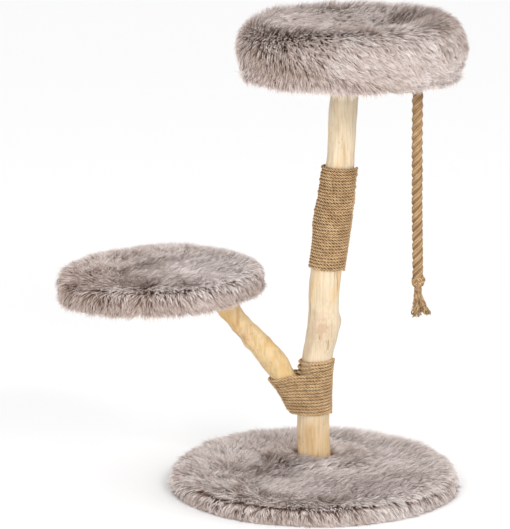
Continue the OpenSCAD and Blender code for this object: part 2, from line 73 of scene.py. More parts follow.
class Wire:
    """One output of a node graph. Operators on it add Math nodes, or Vector Math nodes on a vector, and a
    vector can only be multiplied by a value."""

    def __init__(self, graph, socket):
        self.graph, self.socket = graph, socket

    def math(self, operation, *others):
        if self.socket.type != "VECTOR":
            inputs = dict(enumerate((self, *others)))
            return self.graph.node("ShaderNodeMath", {"operation": operation}, inputs)
        if operation == "MULTIPLY":
            inputs = {0: self, "Scale": others[0]}
            return self.graph.node("ShaderNodeVectorMath", {"operation": "SCALE"}, inputs)
        return self.vector_math(operation, *others)

    def vector_math(self, operation, *others, out=0):
        inputs = dict(enumerate((self, *others)))
        return self.graph.node("ShaderNodeVectorMath", {"operation": operation}, inputs, out)

    def __add__(self, other):
        return self.math("ADD", other)

    def __radd__(self, other):
        return self.math("ADD", other)

    def __sub__(self, other):
        return self.math("SUBTRACT", other)

    def __rsub__(self, other):
        return (self * -1.0).math("ADD", other)

    def __mul__(self, other):
        return self.math("MULTIPLY", other)

    def __rmul__(self, other):
        return self.math("MULTIPLY", other)

    def __truediv__(self, other):
        return self.math("DIVIDE", other)

    def __rtruediv__(self, other):
        return self.graph.node("ShaderNodeMath", {"operation": "DIVIDE"}, {0: other, 1: self})

    def __pow__(self, other):
        return self.math("POWER", other)

    def unit(self):
        return self.vector_math("NORMALIZE")

    def dot(self, other):
        return self.vector_math("DOT_PRODUCT", other, out="Value")

    def cross(self, other):
        return self.vector_math("CROSS_PRODUCT", other)

    def flat_on(self, normal):
        """This vector without its part along normal."""
        return self - normal * self.dot(normal)

    def cos(self):
        return self.math("COSINE")

    def sin(self):
        return self.math("SINE")

    def clamp(self, low=0.0, high=1.0):
        return self.math("MAXIMUM", low).math("MINIMUM", high)

    def step(self, low, high):
        """0 below low, 1 above high, smooth between."""
        inputs = {0: self, 1: low, 2: high, 3: 0.0, 4: 1.0}
        return self.graph.node("ShaderNodeMapRange", {"interpolation_type": "SMOOTHSTEP"}, inputs)


class Graph:
    """Adds nodes to one node tree, shader or geometry."""

    def __init__(self, tree):
        self.tree = tree

    def put(self, socket, value):
        if isinstance(value, Wire):
            self.tree.links.new(value.socket, socket)
        else:
            socket.default_value = value

    def node(self, kind, settings=None, inputs=None, out=0):
        made = self.tree.nodes.new(kind)
        for name, value in (settings or {}).items():
            if name == "stops":
                self.stops(made.color_ramp.elements, value)
            else:
                setattr(made, name, value)
        for name, value in (inputs or {}).items():
            self.put(made.inputs[name], value)
        return Wire(self, made.outputs[out])

    def stops(self, elements, stops):
        while len(elements) < len(stops):
            elements.new(0.5)
        for element, (place, colour) in zip(elements, stops):
            element.position = place
            element.color = (*colour, 1.0)

    def other(self, wire, name):
        """Another output of the node that wire comes from."""
        return Wire(self, wire.socket.node.outputs[name])

    def xyz(self, x, y, z):
        return self.node("ShaderNodeCombineXYZ", None, {0: x, 1: y, 2: z})

    def parts(self, vector):
        x = self.node("ShaderNodeSeparateXYZ", None, {0: vector})
        return x, self.other(x, 1), self.other(x, 2)

    def noise(self, place, scale, detail=2.0, rough=0.5, distortion=0.0):
        inputs = {"Vector": place, "Scale": scale, "Detail": detail, "Roughness": rough}
        return self.node("ShaderNodeTexNoise", None, {**inputs, "Distortion": distortion})

    def ramp(self, factor, *stops):
        return self.node("ShaderNodeValToRGB", {"stops": stops}, {0: factor})

    def mix(self, factor, first, second):
        colours = {6: opaque(first), 7: opaque(second)}
        return self.node("ShaderNodeMix", {"data_type": "RGBA"}, {0: factor, **colours}, out=2)

    def bump(self, height, strength, distance):
        inputs = {"Height": height, "Strength": strength, "Distance": distance}
        return self.node("ShaderNodeBump", None, inputs)


def opaque(colour):
    return colour if isinstance(colour, Wire) else (*colour, 1.0)


def material(name, make, **constants):
    """A Principled material: make(graph) gives its varying inputs, and constants are set on its sockets."""
    made = bpy.data.materials.new(name)
    made.use_nodes = True
    shader = made.node_tree.nodes["Principled BSDF"]
    graph = Graph(made.node_tree)
    for socket, value in make(graph).items():
        graph.put(shader.inputs[socket], value)
    for socket, value in constants.items():
        shader.inputs[socket.replace("_", " ")].default_value = value
    return made


# ---------- Camera, light and floor ----------

CAMERA_AWAY = 6.5
CAMERA_HIGH = 1.90
CAMERA_SIDE = -0.1255
AIM_HIGH = 0.4705
AIM_BACK = 0.03
LENS = 218
SENSOR_W = 36
WHITE = (1.0, 1.0, 1.0, 1.0)
FLOOR_WHITE = (0.97, 0.97, 0.97, 1.0)
ROOM_LIGHT = 0.98
FLOOR_HALF = 20.0
# Each soft lamp: its name, its place, what it is aimed at, its size and its power
LAMPS = [
    ("key", (1.5, -3.2, 2.6), (0.0, 0.0, 0.5), 1.4, 62),
    ("fill", (-1.8, -3.6, 0.9), (0.0, 0.0, 0.4), 2.4, 50)
]


def make_camera():
    data = bpy.data.cameras.new("camera")
    data.lens = LENS
    data.sensor_width = SENSOR_W
    camera = bpy.data.objects.new("camera", data)
    scene.collection.objects.link(camera)
    camera.location = (CAMERA_SIDE, -CAMERA_AWAY, CAMERA_HIGH)
    aim = Vector((CAMERA_SIDE, AIM_BACK, AIM_HIGH)) - camera.location
    camera.rotation_euler = aim.to_track_quat("-Z", "Y").to_euler()
    scene.camera = camera


def make_area_light(name, place, aim, size, power):
    data = bpy.data.lights.new(name, "AREA")
    data.shape = "DISK"
    data.size = size
    data.energy = power
    light = bpy.data.objects.new(name, data)
    scene.collection.objects.link(light)
    light.location = place
    light.rotation_euler = (Vector(aim) - Vector(place)).to_track_quat("-Z", "Y").to_euler()


def make_studio():
    world = bpy.data.worlds.new("studio")
    scene.world = world
    world.use_nodes = True
    background = world.node_tree.nodes["Background"]
    background.inputs["Color"].default_value = WHITE
    background.inputs["Strength"].default_value = ROOM_LIGHT
    for lamp in LAMPS:
        make_area_light(*lamp)
    far = FLOOR_HALF
    mesh = bpy.data.meshes.new("floor")
    mesh.from_pydata([(-far, -far, 0), (far, -far, 0), (far, far, 0), (-far, far, 0)], [], [(0, 1, 2, 3)])
    floor = bpy.data.objects.new("floor", mesh)
    scene.collection.objects.link(floor)
    mesh.materials.append(material("studio floor", lambda graph: {}, Base_Color=FLOOR_WHITE, Roughness=0.9))


make_camera()
make_studio()
scene.view_settings.view_transform = "Standard"


# ---------- Materials ----------


def object_place(graph):
    return graph.node("ShaderNodeTexCoord", None, None, "Object")


def fur_look(graph):
    """Dark at the root and pale at the tip. The map's first number is the hair's shade."""
    shade, along, _ = graph.parts(graph.node("ShaderNodeUVMap", {"uv_map": "OFBake"}))
    dull = graph.ramp(
        along, (0.0, (0.15, 0.088, 0.060)), (0.36, (0.265, 0.162, 0.117)), (0.70, (0.50, 0.39, 0.335)),
        (1.0, (0.68, 0.575, 0.525))
    )
    pale = graph.ramp(
        along, (0.0, (0.19, 0.118, 0.086)), (0.36, (0.46, 0.355, 0.31)), (0.70, (0.88, 0.80, 0.77)),
        (1.0, (0.99, 0.95, 0.94))
    )
    return {"Base Color": graph.mix(shade, dull, pale)}


def pelt_look(graph):
    place = object_place(graph)
    patch = graph.noise(place, 60.0, 3.0)
    weave = graph.noise(place, 900.0, 1.0)
    colour = graph.ramp(patch, (0.3, (0.13, 0.078, 0.055)), (0.7, (0.22, 0.145, 0.110)))
    return {"Base Color": colour, "Normal": graph.bump(weave, 0.5, 0.0006)}


def felt_look(graph):
    place = object_place(graph)
    fibre = graph.noise(place, 700.0, 3.0, 0.7)
    colour = graph.ramp(fibre, (0.3, (0.020, 0.019, 0.018)), (0.7, (0.055, 0.052, 0.050)))
    return {"Base Color": colour, "Normal": graph.bump(fibre, 0.5, 0.0006)}


def foam_look(graph):
    cell = graph.noise(object_place(graph), 500.0, 2.0, 0.6)
    colour = graph.ramp(cell, (0.3, (0.72, 0.68, 0.55)), (0.7, (0.86, 0.83, 0.72)))
    return {"Base Color": colour, "Normal": graph.bump(cell, 0.6, 0.0008)}


def board_look(graph):
    """Pressed board: flat chips of several browns."""
    place = object_place(graph)
    chips = graph.node("ShaderNodeTexVoronoi", None, {"Vector": place, "Scale": 220.0}, "Color")
    tone = graph.parts(chips)[0]
    colour = graph.ramp(tone, (0.0, (0.36, 0.25, 0.15)), (0.5, (0.55, 0.41, 0.26)), (1.0, (0.68, 0.54, 0.37)))
    return {"Base Color": colour, "Normal": graph.bump(tone, 0.3, 0.0004)}


def steel_look(graph):
    place = object_place(graph)
    spangle = graph.noise(place, 350.0, 2.0)
    colour = graph.ramp(spangle, (0.35, (0.56, 0.57, 0.60)), (0.65, (0.72, 0.73, 0.75)))
    return {"Base Color": colour, "Roughness": spangle * 0.25 + 0.25}


# Each knot: its centre, its size and how far it stands out.
TRUNK_KNOTS = [
    ((0.014, 0.027, 0.333), 0.022, 0.0020), ((0.055, 0.060, 0.345), 0.012, 0.0030),
    ((0.034, 0.029, 0.762), 0.009, 0.0014), ((-0.030, 0.045, 0.095), 0.010, 0.0016),
    ((0.020, 0.096, 0.560), 0.014, 0.0020), ((0.060, 0.090, 0.735), 0.011, 0.0016)
]
BRANCH_KNOTS = [((-0.147, 0.012, 0.318), 0.011, 0.0020), ((-0.120, 0.060, 0.290), 0.012, 0.0022)]
KNOT_BROWN = (0.42, 0.24, 0.14)


def wood_look(graph, pale, warm, streak, knots, warm_share, crack_share):
    """Peeled wood: long grain, warmer patches, orange streaks, fine dark cracks and pink-brown knots."""
    place = object_place(graph)
    x, y, z = graph.parts(place)
    bend = graph.noise(graph.xyz(x, y, z * 0.6), 14.0, 2.0)
    grain = graph.noise(graph.xyz(x + bend * 0.010, y + bend * 0.010, z * 0.07), 210.0, 4.0, 0.6)
    fine = graph.noise(graph.xyz(x, y, z * 0.04), 900.0, 3.0, 0.6)
    patch = graph.noise(graph.xyz(x, y, z * 0.45), 17.0, 3.0, 0.55, 0.6)
    warmer = (patch.step(0.62 - warm_share, 0.78 - warm_share) + (1.0 - z.step(0.06, 0.20)) * 0.7).clamp()
    colour = graph.mix(warmer, pale, warm)
    streaks = graph.noise(graph.xyz(x + bend * 0.02, y, z * 0.16), 46.0, 2.0, 0.5).step(0.56, 0.72)
    colour = graph.mix(streaks * 0.7, colour, streak)
    colour = graph.mix(grain.step(0.42, 0.72) * 0.42, colour, tuple(0.55 * v for v in warm))
    colour = graph.mix(fine.step(0.45, 0.8) * 0.22, colour, (0.36, 0.25, 0.14))
    swirl = graph.noise(place, 120.0, 3.0, 0.6)
    for centre, size, _ in knots:
        away = (place - centre).vector_math("MULTIPLY", (1.0, 1.0, 0.8)).vector_math("LENGTH", out="Value")
        away = away * (1.0 / size) + (swirl - 0.5) * 1.9
        rings = (away * 5.5).sin() * 0.5 + 0.5
        near = 1.0 - away.step(0.6, 1.5)
        colour = graph.mix(near * (rings.step(0.2, 1.0) * 0.34 + 0.20), colour, KNOT_BROWN)
    split = graph.noise(graph.xyz(x + bend * 0.006, y, z * 0.045), 130.0, 1.0, 0.4)
    where = graph.noise(graph.xyz(x, y, z * 0.5), 22.0, 1.0).step(0.58 - crack_share, 0.64 - crack_share)
    crack = split.step(0.665, 0.70) * where
    colour = graph.mix(crack * 0.62, colour, (0.30, 0.18, 0.09))
    fleck = graph.noise(graph.xyz(x, y, z * 0.35), 320.0, 1.0, 0.5).step(0.70, 0.76)
    colour = graph.mix(fleck * 0.45, colour, (0.30, 0.19, 0.10))
    height = grain * 0.6 + fine * 0.3 - crack * 1.4
    return {"Base Color": colour, "Roughness": grain * 0.2 + 0.45, "Normal": graph.bump(height, 0.5, 0.0014)}


def trunk_look(graph):
    pale, warm, streak = (0.68, 0.555, 0.39), (0.68, 0.475, 0.245), (0.55, 0.33, 0.14)
    return wood_look(graph, pale, warm, streak, TRUNK_KNOTS, warm_share=0.10, crack_share=0.04)


def branch_look(graph):
    pale, warm, streak = (0.69, 0.505, 0.27), (0.66, 0.43, 0.175), (0.54, 0.26, 0.075)
    return wood_look(graph, pale, warm, streak, BRANCH_KNOTS, warm_share=0.17, crack_share=0.0)


def cord_look(graph, dark, mid, light, plies, groove_shade_share, level_up, sunk_shade_share=0.35):
    """Twisted plant fibre, with painted shade in the grooves between its plies by groove_shade_share, so that
    it is paler on their ridges, and paler all over by level_up. The cord's own map gives how far along it is,
    in metres, and how far round. The piece's "Sunk" numbers say where it lies deep between its neighbours,
    and painted shade darkens it there by sunk_shade_share."""
    along, around, _ = graph.parts(graph.node("ShaderNodeUVMap", {"uv_map": "Cord"}))
    angle = around * TAU
    fibre = graph.noise(graph.xyz(angle.cos(), angle.sin(), along * 60.0), 7.0, 4.0, 0.7)
    ridge = (angle * plies).cos() * 0.5 + 0.5
    tone = graph.noise(object_place(graph), 45.0, 3.0)
    sunk = graph.node("ShaderNodeAttribute", {"attribute_name": "Sunk"}, None, "Fac")
    # Painted shade: darker in the grooves between the plies and where the cord lies sunk between its
    # neighbours.
    level = (fibre + ridge * groove_shade_share + tone * 0.6 - sunk * sunk_shade_share + level_up).clamp()
    colour = graph.ramp(level, (0.12, dark), (0.5, mid), (0.9, light))
    return {"Base Color": colour, "Normal": graph.bump(fibre + ridge * 0.6, 0.6, 0.0007)}


def wound_cord_look(graph):
    """The higher a turn lies, the darker it is."""
    dark, mid, light = (0.15, 0.080, 0.034), (0.44, 0.272, 0.126), (0.82, 0.59, 0.35)
    height = graph.parts(object_place(graph))[2]
    return cord_look(graph, dark, mid, light, 3.0, 0.5, -0.40 - height * 0.26)


def rope_look(graph):
    dark, mid, light = (0.19, 0.108, 0.049), (0.38, 0.235, 0.112), (0.66, 0.46, 0.26)
    return cord_look(graph, dark, mid, light, 6.0, 0.2, -0.43, 0.40)


def yarn_look(graph):
    """Curled yarn, with painted shade in the hollows between its curls."""
    dark, mid, light = (0.14, 0.072, 0.030), (0.43, 0.255, 0.115), (0.80, 0.57, 0.32)
    look = cord_look(graph, dark, mid, light, 3.0, 0.7, -0.60)
    # Painted shade in the hollows between the curls.
    hollow_shade = 1.0 - graph.noise(object_place(graph), 170.0, 2.0).step(0.40, 0.54)
    return {**look, "Base Color": graph.mix(hollow_shade * 0.75, look["Base Color"], (0.19, 0.098, 0.040))}


def loose_fibre_look(graph):
    tone = graph.noise(object_place(graph), 260.0, 2.0)
    return {"Base Color": graph.ramp(tone, (0.3, (0.32, 0.18, 0.080)), (0.7, (0.64, 0.44, 0.24)))}


FUR = material("frosted fur", fur_look, Roughness=0.62, Specular_IOR_Level=0.25)
PELT = material("fur backing", pelt_look, Roughness=0.95)
FELT = material("dark felt", felt_look, Roughness=0.98)
FOAM = material("foam", foam_look, Roughness=0.95)
BOARD = material("pressed board", board_look, Roughness=0.8)
STEEL = material("zinc plated steel", steel_look, Metallic=1.0)
TRUNK = material("peeled trunk wood", trunk_look)
BRANCH = material("peeled branch wood", branch_look)
CORD = material("wound jute cord", wound_cord_look, Roughness=0.9)
ROPE = material("jute rope", rope_look, Roughness=0.9)
YARN = material("jute yarn", yarn_look, Roughness=0.9)
LOOSE_FIBRE = material("loose jute fibre", loose_fibre_look, Roughness=0.85)

BY_SLOT = {
    "fur": PELT, "felt": FELT, "foam": FOAM, "steel": STEEL,
    "trunk_wood": TRUNK, "board_wood": BOARD, "jute": CORD
}


def finish_cad_nodes():
    """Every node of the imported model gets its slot's finish."""
    for subpart in frame["record"]["subparts"]:
        node = frame["nodes"][subpart["node"]]
        node.data.materials.clear()
        node.data.materials.append(BY_SLOT[subpart["material_slot"]])


finish_cad_nodes()


# ---------- Mesh helpers ----------


def new_object(name, mesh):
    made = bpy.data.objects.new(name, mesh)
    scene.collection.objects.link(made)
    return made


def mesh_object(name, points, faces, edges=()):
    mesh = bpy.data.meshes.new(name)
    mesh.from_pydata([tuple(p) for p in points], list(edges), list(faces))
    mesh.update()
    return new_object(name, mesh)


def points_of(mesh, value="co"):
    """The place, or the normal, of each of a mesh's points."""
    values = np.empty(3 * len(mesh.vertices))
    mesh.vertices.foreach_get(value, values)
    return values.reshape(-1, 3)


def store_values(mesh, name, values):
    mesh.attributes.new(name, "FLOAT", "POINT").data.foreach_set("value", np.ascontiguousarray(values))


# What the trees below keep on their points while they work
SCRATCH = {
    "root", "up", "comb", "luck", "along", "side", "pile", "shade", "thick", "lift", "around", "cord_along"
}


def plain_mesh(source, name):
    """The evaluated source as a plain mesh object, with source removed."""
    evaluated = source.evaluated_get(bpy.context.evaluated_depsgraph_get())
    mesh = bpy.data.meshes.new_from_object(evaluated)
    for used in [a.name for a in mesh.attributes if a.name in SCRATCH]:
        mesh.attributes.remove(mesh.attributes[used])
    old = source.data
    bpy.data.objects.remove(source)
    if old.users == 0:
        bpy.data.meshes.remove(old)
    mesh.name = name
    return new_object(name, mesh)


def stand_for(piece, node=None, body="stand"):
    """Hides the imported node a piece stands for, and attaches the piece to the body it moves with."""
    if node:
        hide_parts(node)
    if body:
        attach(piece, body)


def node_modifier(target, tree, values):
    """Adds a Geometry Nodes modifier and sets its inputs by their identifiers."""
    modifier = target.modifiers.new(tree.name, "NODES")
    modifier.node_group = tree
    identifiers = {i.name: i.identifier for i in tree.interface.items_tree if i.in_out == "INPUT"}
    for name, value in values.items():
        modifier[identifiers[name]] = value


def new_tree(name, inputs):
    """A geometry tree with the named inputs. Gives its graph and its inputs' wires by name."""
    tree = bpy.data.node_groups.new(name, "GeometryNodeTree")
    for label, kind in inputs:
        tree.interface.new_socket(name=label, in_out="INPUT", socket_type="NodeSocket" + kind)
    tree.interface.new_socket(name="Geometry", in_out="OUTPUT", socket_type="NodeSocketGeometry")
    graph = Graph(tree)
    source = tree.nodes.new("NodeGroupInput")
    return graph, {label: Wire(graph, source.outputs[label]) for label, _ in inputs}


def end_tree(graph, geometry, finish):
    """Realizes what the tree made and gives it its material."""
    geometry = graph.node("GeometryNodeRealizeInstances", None, {0: geometry})
    geometry = graph.node("GeometryNodeSetMaterial", None, {"Geometry": geometry, "Material": finish})
    sink = graph.tree.nodes.new("NodeGroupOutput")
    graph.tree.links.new(geometry.socket, sink.inputs[0])
    return graph.tree


def stored(graph, geometry, name, kind, value, domain="POINT"):
    settings = {"data_type": kind, "domain": domain}
    node = graph.node("GeometryNodeStoreNamedAttribute", settings, {"Geometry": geometry, "Name": name})
    sockets = [s for s in node.socket.node.inputs if s.name == "Value" and s.enabled]
    graph.put(sockets[0], value)
    return node


def named(graph, name, kind):
    return graph.node("GeometryNodeInputNamedAttribute", {"data_type": kind}, {"Name": name})


# ---------- Twisted cord ----------


def cord_tree():
    """Sweeps a lobed round along each path and twists it, as laid cord is."""
    graph, given = new_tree(
        "Twisted cord",
        [("Path", "Geometry"), ("Radius", "Float"), ("Plies", "Float"), ("Groove", "Float"), ("Lay", "Float"),
         ("Sides", "Int"), ("Material", "Material")]
    )
    curve = graph.node("GeometryNodeMeshToCurve", None, {0: given["Path"]})
    gone = graph.node("GeometryNodeSplineParameter", None, None, "Length")
    turn = gone / given["Lay"] * TAU
    curve = graph.node("GeometryNodeSetCurveTilt", None, {"Curve": curve, "Tilt": turn})
    curve = stored(graph, curve, "cord_along", "FLOAT", gone)
    round_inputs = {"Resolution": given["Sides"], "Radius": 1.0}
    profile = graph.node("GeometryNodeCurvePrimitiveCircle", {"mode": "RADIUS"}, round_inputs)
    share = graph.node("GeometryNodeSplineParameter", None, None, "Factor")
    profile = stored(graph, profile, "around", "FLOAT", share)
    place = graph.node("GeometryNodeInputPosition")
    ridge = (share * TAU * given["Plies"]).cos() * given["Groove"] + (1.0 - given["Groove"])
    inputs = {"Geometry": profile, "Position": place * (ridge * given["Radius"])}
    profile = graph.node("GeometryNodeSetPosition", None, inputs)
    inputs = {"Curve": curve, "Profile Curve": profile, "Fill Caps": True}
    mesh = graph.node("GeometryNodeCurveToMesh", None, inputs)
    map_place = graph.xyz(named(graph, "cord_along", "FLOAT"), named(graph, "around", "FLOAT"), 0.0)
    mesh = stored(graph, mesh, "Cord", "FLOAT2", map_place, "CORNER")
    mesh = graph.node("GeometryNodeSetShadeSmooth", None, {"Geometry": mesh})
    return end_tree(graph, mesh, given["Material"])


CORD_TREE = cord_tree()


def twisted_cords(name, paths, radius, plies, groove, lay, sides, finish):
    """One piece of laid cord, along each of the paths."""
    points = np.concatenate(paths)
    edges = []
    first = 0
    for path in paths:
        edges += [(first + i, first + i + 1) for i in range(len(path) - 1)]
        first += len(path)
    source = mesh_object(name + "_path", points, (), edges)
    node_modifier(source, CORD_TREE, {
        "Radius": radius, "Plies": float(plies), "Groove": groove, "Lay": lay, "Sides": sides,
        "Material": finish
    })
    return plain_mesh(source, name)


# ---------- Hanging rope ----------

ROPE_R = 0.010
ROPE_LAY = 0.057
STRANDS = 3
STRAND_R = 0.0069
STRANDS_APART = 0.0049  # from the rope's middle to each strand's
STRAND_LOOK = {"radius": STRAND_R, "plies": 6, "groove": 0.07, "lay": 0.075, "sides": 30, "finish": ROPE}
# The rope's painted shade is darkest in the grooves between its strands and palest on their crests.
GROOVE_OUT, CREST_OUT = 0.0080, 0.0110  # how far out from its middle the rope is darkest and palest
ROPE_HANGS = (0.207, -0.030)
ROPE_EXIT_Z = 0.874
SIDE_PIVOT_Z = 0.862
FORE_PIVOT_Z = 0.840
PIVOT_REACH = 0.010  # how far above and below a pivot the rope bends
ROPE_START_Z = 0.828
NECK_END_Z = 0.851  # between the two pivots, where the neck's turns end and the free rope's begin
# The rope's route: X and Y from where it hangs, and how far below its start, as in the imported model.
ROPE_ROUTE = [
    (0, 0, 0), (0, 0, 50), (0, 0, 100), (1, 1, 150), (1, 1, 200),
    (2, 1, 250), (3, 0, 300), (4, 0, 350), (5, 0, 390)
]
ROPE_STEP = 0.0015
BEND_SPAN = 21  # steps of the rope's line that each bend of its route is smoothed over
WHIPPING_BOX = np.array(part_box("rope_whipping"))
WHIPPING_LOW, WHIPPING_HIGH = WHIPPING_BOX[:, 2]
ROPE_END = np.array([*WHIPPING_BOX.mean(0)[:2], WHIPPING_LOW])


def rope_line(high, low):
    """Points down the rope's middle, from high to low."""
    route = MM * np.array(ROPE_ROUTE, float)
    count = int(round((high - low) / ROPE_STEP)) + 1
    z = np.linspace(high, low, count)
    down = ROPE_START_Z - z
    x = ROPE_HANGS[0] + np.interp(down, route[:, 2], route[:, 0])
    y = ROPE_HANGS[1] + np.interp(down, route[:, 2], route[:, 1])
    smooth = np.ones(BEND_SPAN) / BEND_SPAN
    half = BEND_SPAN // 2
    if count > 3 * BEND_SPAN:
        x[half:-half] = np.convolve(x, smooth, "valid")
        y[half:-half] = np.convolve(y, smooth, "valid")
    return np.stack([x, y, z], 1)


def laid_strands(line):
    """The strands' own lines round the rope's middle."""
    strands = []
    for k in range(STRANDS):
        angle = TAU * ((line[:, 2] - ROPE_EXIT_Z) / ROPE_LAY + k / STRANDS)
        offset = np.stack([np.cos(angle), np.sin(angle), np.zeros(len(angle))], 1)
        strands.append(line + STRANDS_APART * offset)
    return strands


def laid_rope(name, node, high, low):
    """A stretch of the rope, with how deep its points lie between the strands, for its painted shade. Gives
    its line too.
    """
    line = rope_line(high, low)
    piece = twisted_cords(name, laid_strands(line), **STRAND_LOOK)
    x, y, z = points_of(piece.data).T
    up = line[::-1]
    out = np.hypot(x - np.interp(z, up[:, 2], up[:, 0]), y - np.interp(z, up[:, 2], up[:, 1]))
    # Sunk: painted shade in the grooves between the strands.
    store_values(piece.data, "Sunk", np.clip((CREST_OUT - out) / (CREST_OUT - GROOVE_OUT), 0, 1))
    stand_for(piece, node, None)
    return piece, line


def bend_at(piece, above, below, pivot_z):
    """Blends a piece from the body above a pivot to the body below it."""
    start, end = ((*ROPE_HANGS, pivot_z + reach) for reach in (PIVOT_REACH, -PIVOT_REACH))
    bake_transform(piece, above, below, start=start, end=end)


WHIPPING_YARN_R = 0.0027
WHIPPING_LOOK = {
    "radius": WHIPPING_YARN_R, "plies": 3, "groove": 0.12, "lay": 0.014, "sides": 16, "finish": YARN
}


def bound_line(turns, first_angle, tuck, swell, low, high, steps):
    """A yarn's line round the rope's end, from low to high above it, standing out most in its middle."""
    line = []
    for i in range(steps + 1):
        share = i / steps
        angle = TAU * turns * share + first_angle
        out = ROPE_R + WHIPPING_YARN_R * (tuck + swell * math.sin(math.pi * share))
        line.append(ROPE_END + [out * math.cos(angle), out * math.sin(angle), low + (high - low) * share])
    return np.array(line)


def make_whipping():
    """Turns of yarn bound round the rope's end, with the last one drawn over them."""
    top = WHIPPING_HIGH - WHIPPING_LOW - WHIPPING_YARN_R
    around = bound_line(4.2, 1.1, 0.1, 0.35, WHIPPING_YARN_R, top, 201)
    over = bound_line(0.45, -2.4, 0.4, 1.2, 0.004, 0.017, 60)
    band = twisted_cords("rope_whipping_turns", [around, over], **WHIPPING_LOOK)
    stand_for(band, "rope_whipping", "rope")
    return band


# The rope's strands below the whipping: where each one's end lies from the rope's, and how long it is
TASSEL_BUNCHES = [(-0.0050, -0.0040, 1.0), (0.0200, -0.0020, 0.94), (0.0005, 0.0050, 0.98)]
YARNS_A_BUNCH, FIBRES_A_BUNCH = 18, 32
BUNCHES_APART = 0.0040
YARNS_REACH, FIBRES_REACH = 0.0050, 0.0052  # how far from its bunch's middle a yarn or a fibre may start
YARN_LOOK = {"radius": 0.0016, "plies": 3, "groove": 0.16, "lay": 0.010, "sides": 12, "finish": YARN}
FIBRE_LOOK = {"radius": 0.00042, "plies": 2, "groove": 0.0, "lay": 0.02, "sides": 4, "finish": LOOSE_FIBRE}


def bunch_line(start, end, here, drop, seed):
    """One yarn's line in a bunch: it spreads, turns and waves on its way down."""
    line = []
    for t in np.linspace(0, 1, 26):
        turn = 2.6 * t * (1 - 0.4 * t)
        spun = Matrix.Rotation(turn, 3, "Z") @ Vector(here * (0.7 + 0.6 * t * t))
        ease = t ** 1.5
        middle = start * (1 - ease) + end * ease
        wave = 0.0034 * t * np.array([math.sin(15 * t + seed), math.cos(12 * t + 2 * seed)])
        line.append((middle[0] + spun.x + wave[0], middle[1] + spun.y + wave[1], start[2] - drop * t))
    return np.array(line)


def make_tassel():
    """The rope's strands, opened out into their yarns and loose fibres."""
    random = np.random.default_rng(11)
    top = ROPE_END + [0, 0, 0.004]
    length = top[2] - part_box("rope_tassel")[0][2]
    yarns, fibres = [], []
    for k, (aim_x, aim_y, share) in enumerate(TASSEL_BUNCHES):
        bunch_angle = TAU * k / 3 + 2.6
        start = top + BUNCHES_APART * np.array([math.cos(bunch_angle), math.sin(bunch_angle), 0])
        end = ROPE_END + [aim_x, aim_y, 0]
        for i in range(YARNS_A_BUNCH + FIBRES_A_BUNCH):
            thick = i < YARNS_A_BUNCH
            angle, out = random.uniform(0, TAU), math.sqrt(random.uniform(0, 1))
            reach = (YARNS_REACH if thick else FIBRES_REACH) * out
            here = reach * np.array([math.cos(angle), math.sin(angle), 0])
            drop = length * share * random.uniform(0.86, 0.97 if thick else 1.0)
            (yarns if thick else fibres).append(bunch_line(start, end, here, drop, i + 5 * k))
    yarn_piece = twisted_cords("tassel_yarns", yarns, **YARN_LOOK)
    fibre_piece = twisted_cords("tassel_fibres", fibres, **FIBRE_LOOK)
    stand_for(yarn_piece, "rope_tassel", "rope")
    stand_for(fibre_piece, None, "rope")
    return yarn_piece, fibre_piece


def make_rope():
    neck, _ = laid_rope("rope_top_turns", "rope_neck", ROPE_EXIT_Z, NECK_END_Z)
    rope, middle = laid_rope("laid_rope", "hanging_rope", NECK_END_Z, WHIPPING_LOW)
    bend_at(neck, "stand", "rope_top", SIDE_PIVOT_Z)
    bend_at(rope, "rope_top", "rope", FORE_PIVOT_Z)
    whipping = make_whipping()
    tassel = make_tassel()
    [tuple(p) for p in middle]


make_rope()


# ---------- Wood ----------


def merged_copy(node, name):
    """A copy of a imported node's mesh with its doubled points merged."""
    made = new_object(name, frame["nodes"][node].data.copy())
    edit = bmesh.new()
    edit.from_mesh(made.data)
    bmesh.ops.remove_doubles(edit, verts=edit.verts, dist=1e-6)
    edit.to_mesh(made.data)
    edit.free()
    return made


def wood_relief(point):
    """How far the knife's long flats, the grain and small lumps stand out at a point."""
    long = Vector((point.x * 34, point.y * 34, point.z * 6.5))
    grain = Vector((point.x * 170, point.y * 170, point.z * 13))
    lump = point * 42
    flats = 0.0022 * (0.5 - abs(noise.noise(long)) * 2)
    return flats + 0.0004 * noise.noise(grain) + 0.0010 * noise.noise(lump)


def knot_relief(point, knots):
    """Rings and a raised collar round each knot: its centre, its size and its height."""
    out = 0.0
    for centre, size, height in knots:
        away = (point - Vector(centre)).length / size
        if away < 2.2:
            out += height * math.exp(-away * away) + 0.16 * height * math.sin(away * 13) * math.exp(-away)
    return out


def make_wood(node, name, finish, knots):
    """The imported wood, remeshed fine and smooth, with its knife marks, grain and knots."""
    source = merged_copy(node, name + "_source")
    remesh = source.modifiers.new("fine", "REMESH")
    remesh.mode = "VOXEL"
    remesh.voxel_size = 0.0024
    smooth = source.modifiers.new("smooth", "SMOOTH")
    smooth.factor = 0.5
    smooth.iterations = 24
    piece = plain_mesh(source, name)
    mesh = piece.data
    moves = [(wood_relief(v.co) + knot_relief(v.co, knots)) * v.normal for v in mesh.vertices]
    for vertex, move in zip(mesh.vertices, moves):
        vertex.co += move
    mesh.shade_smooth()
    mesh.materials.clear()
    mesh.materials.append(finish)
    stand_for(piece, node)


make_wood("trunk", "peeled_trunk", TRUNK, TRUNK_KNOTS)
make_wood("branch", "peeled_branch", BRANCH, BRANCH_KNOTS)


# ---------- Wound cord ----------

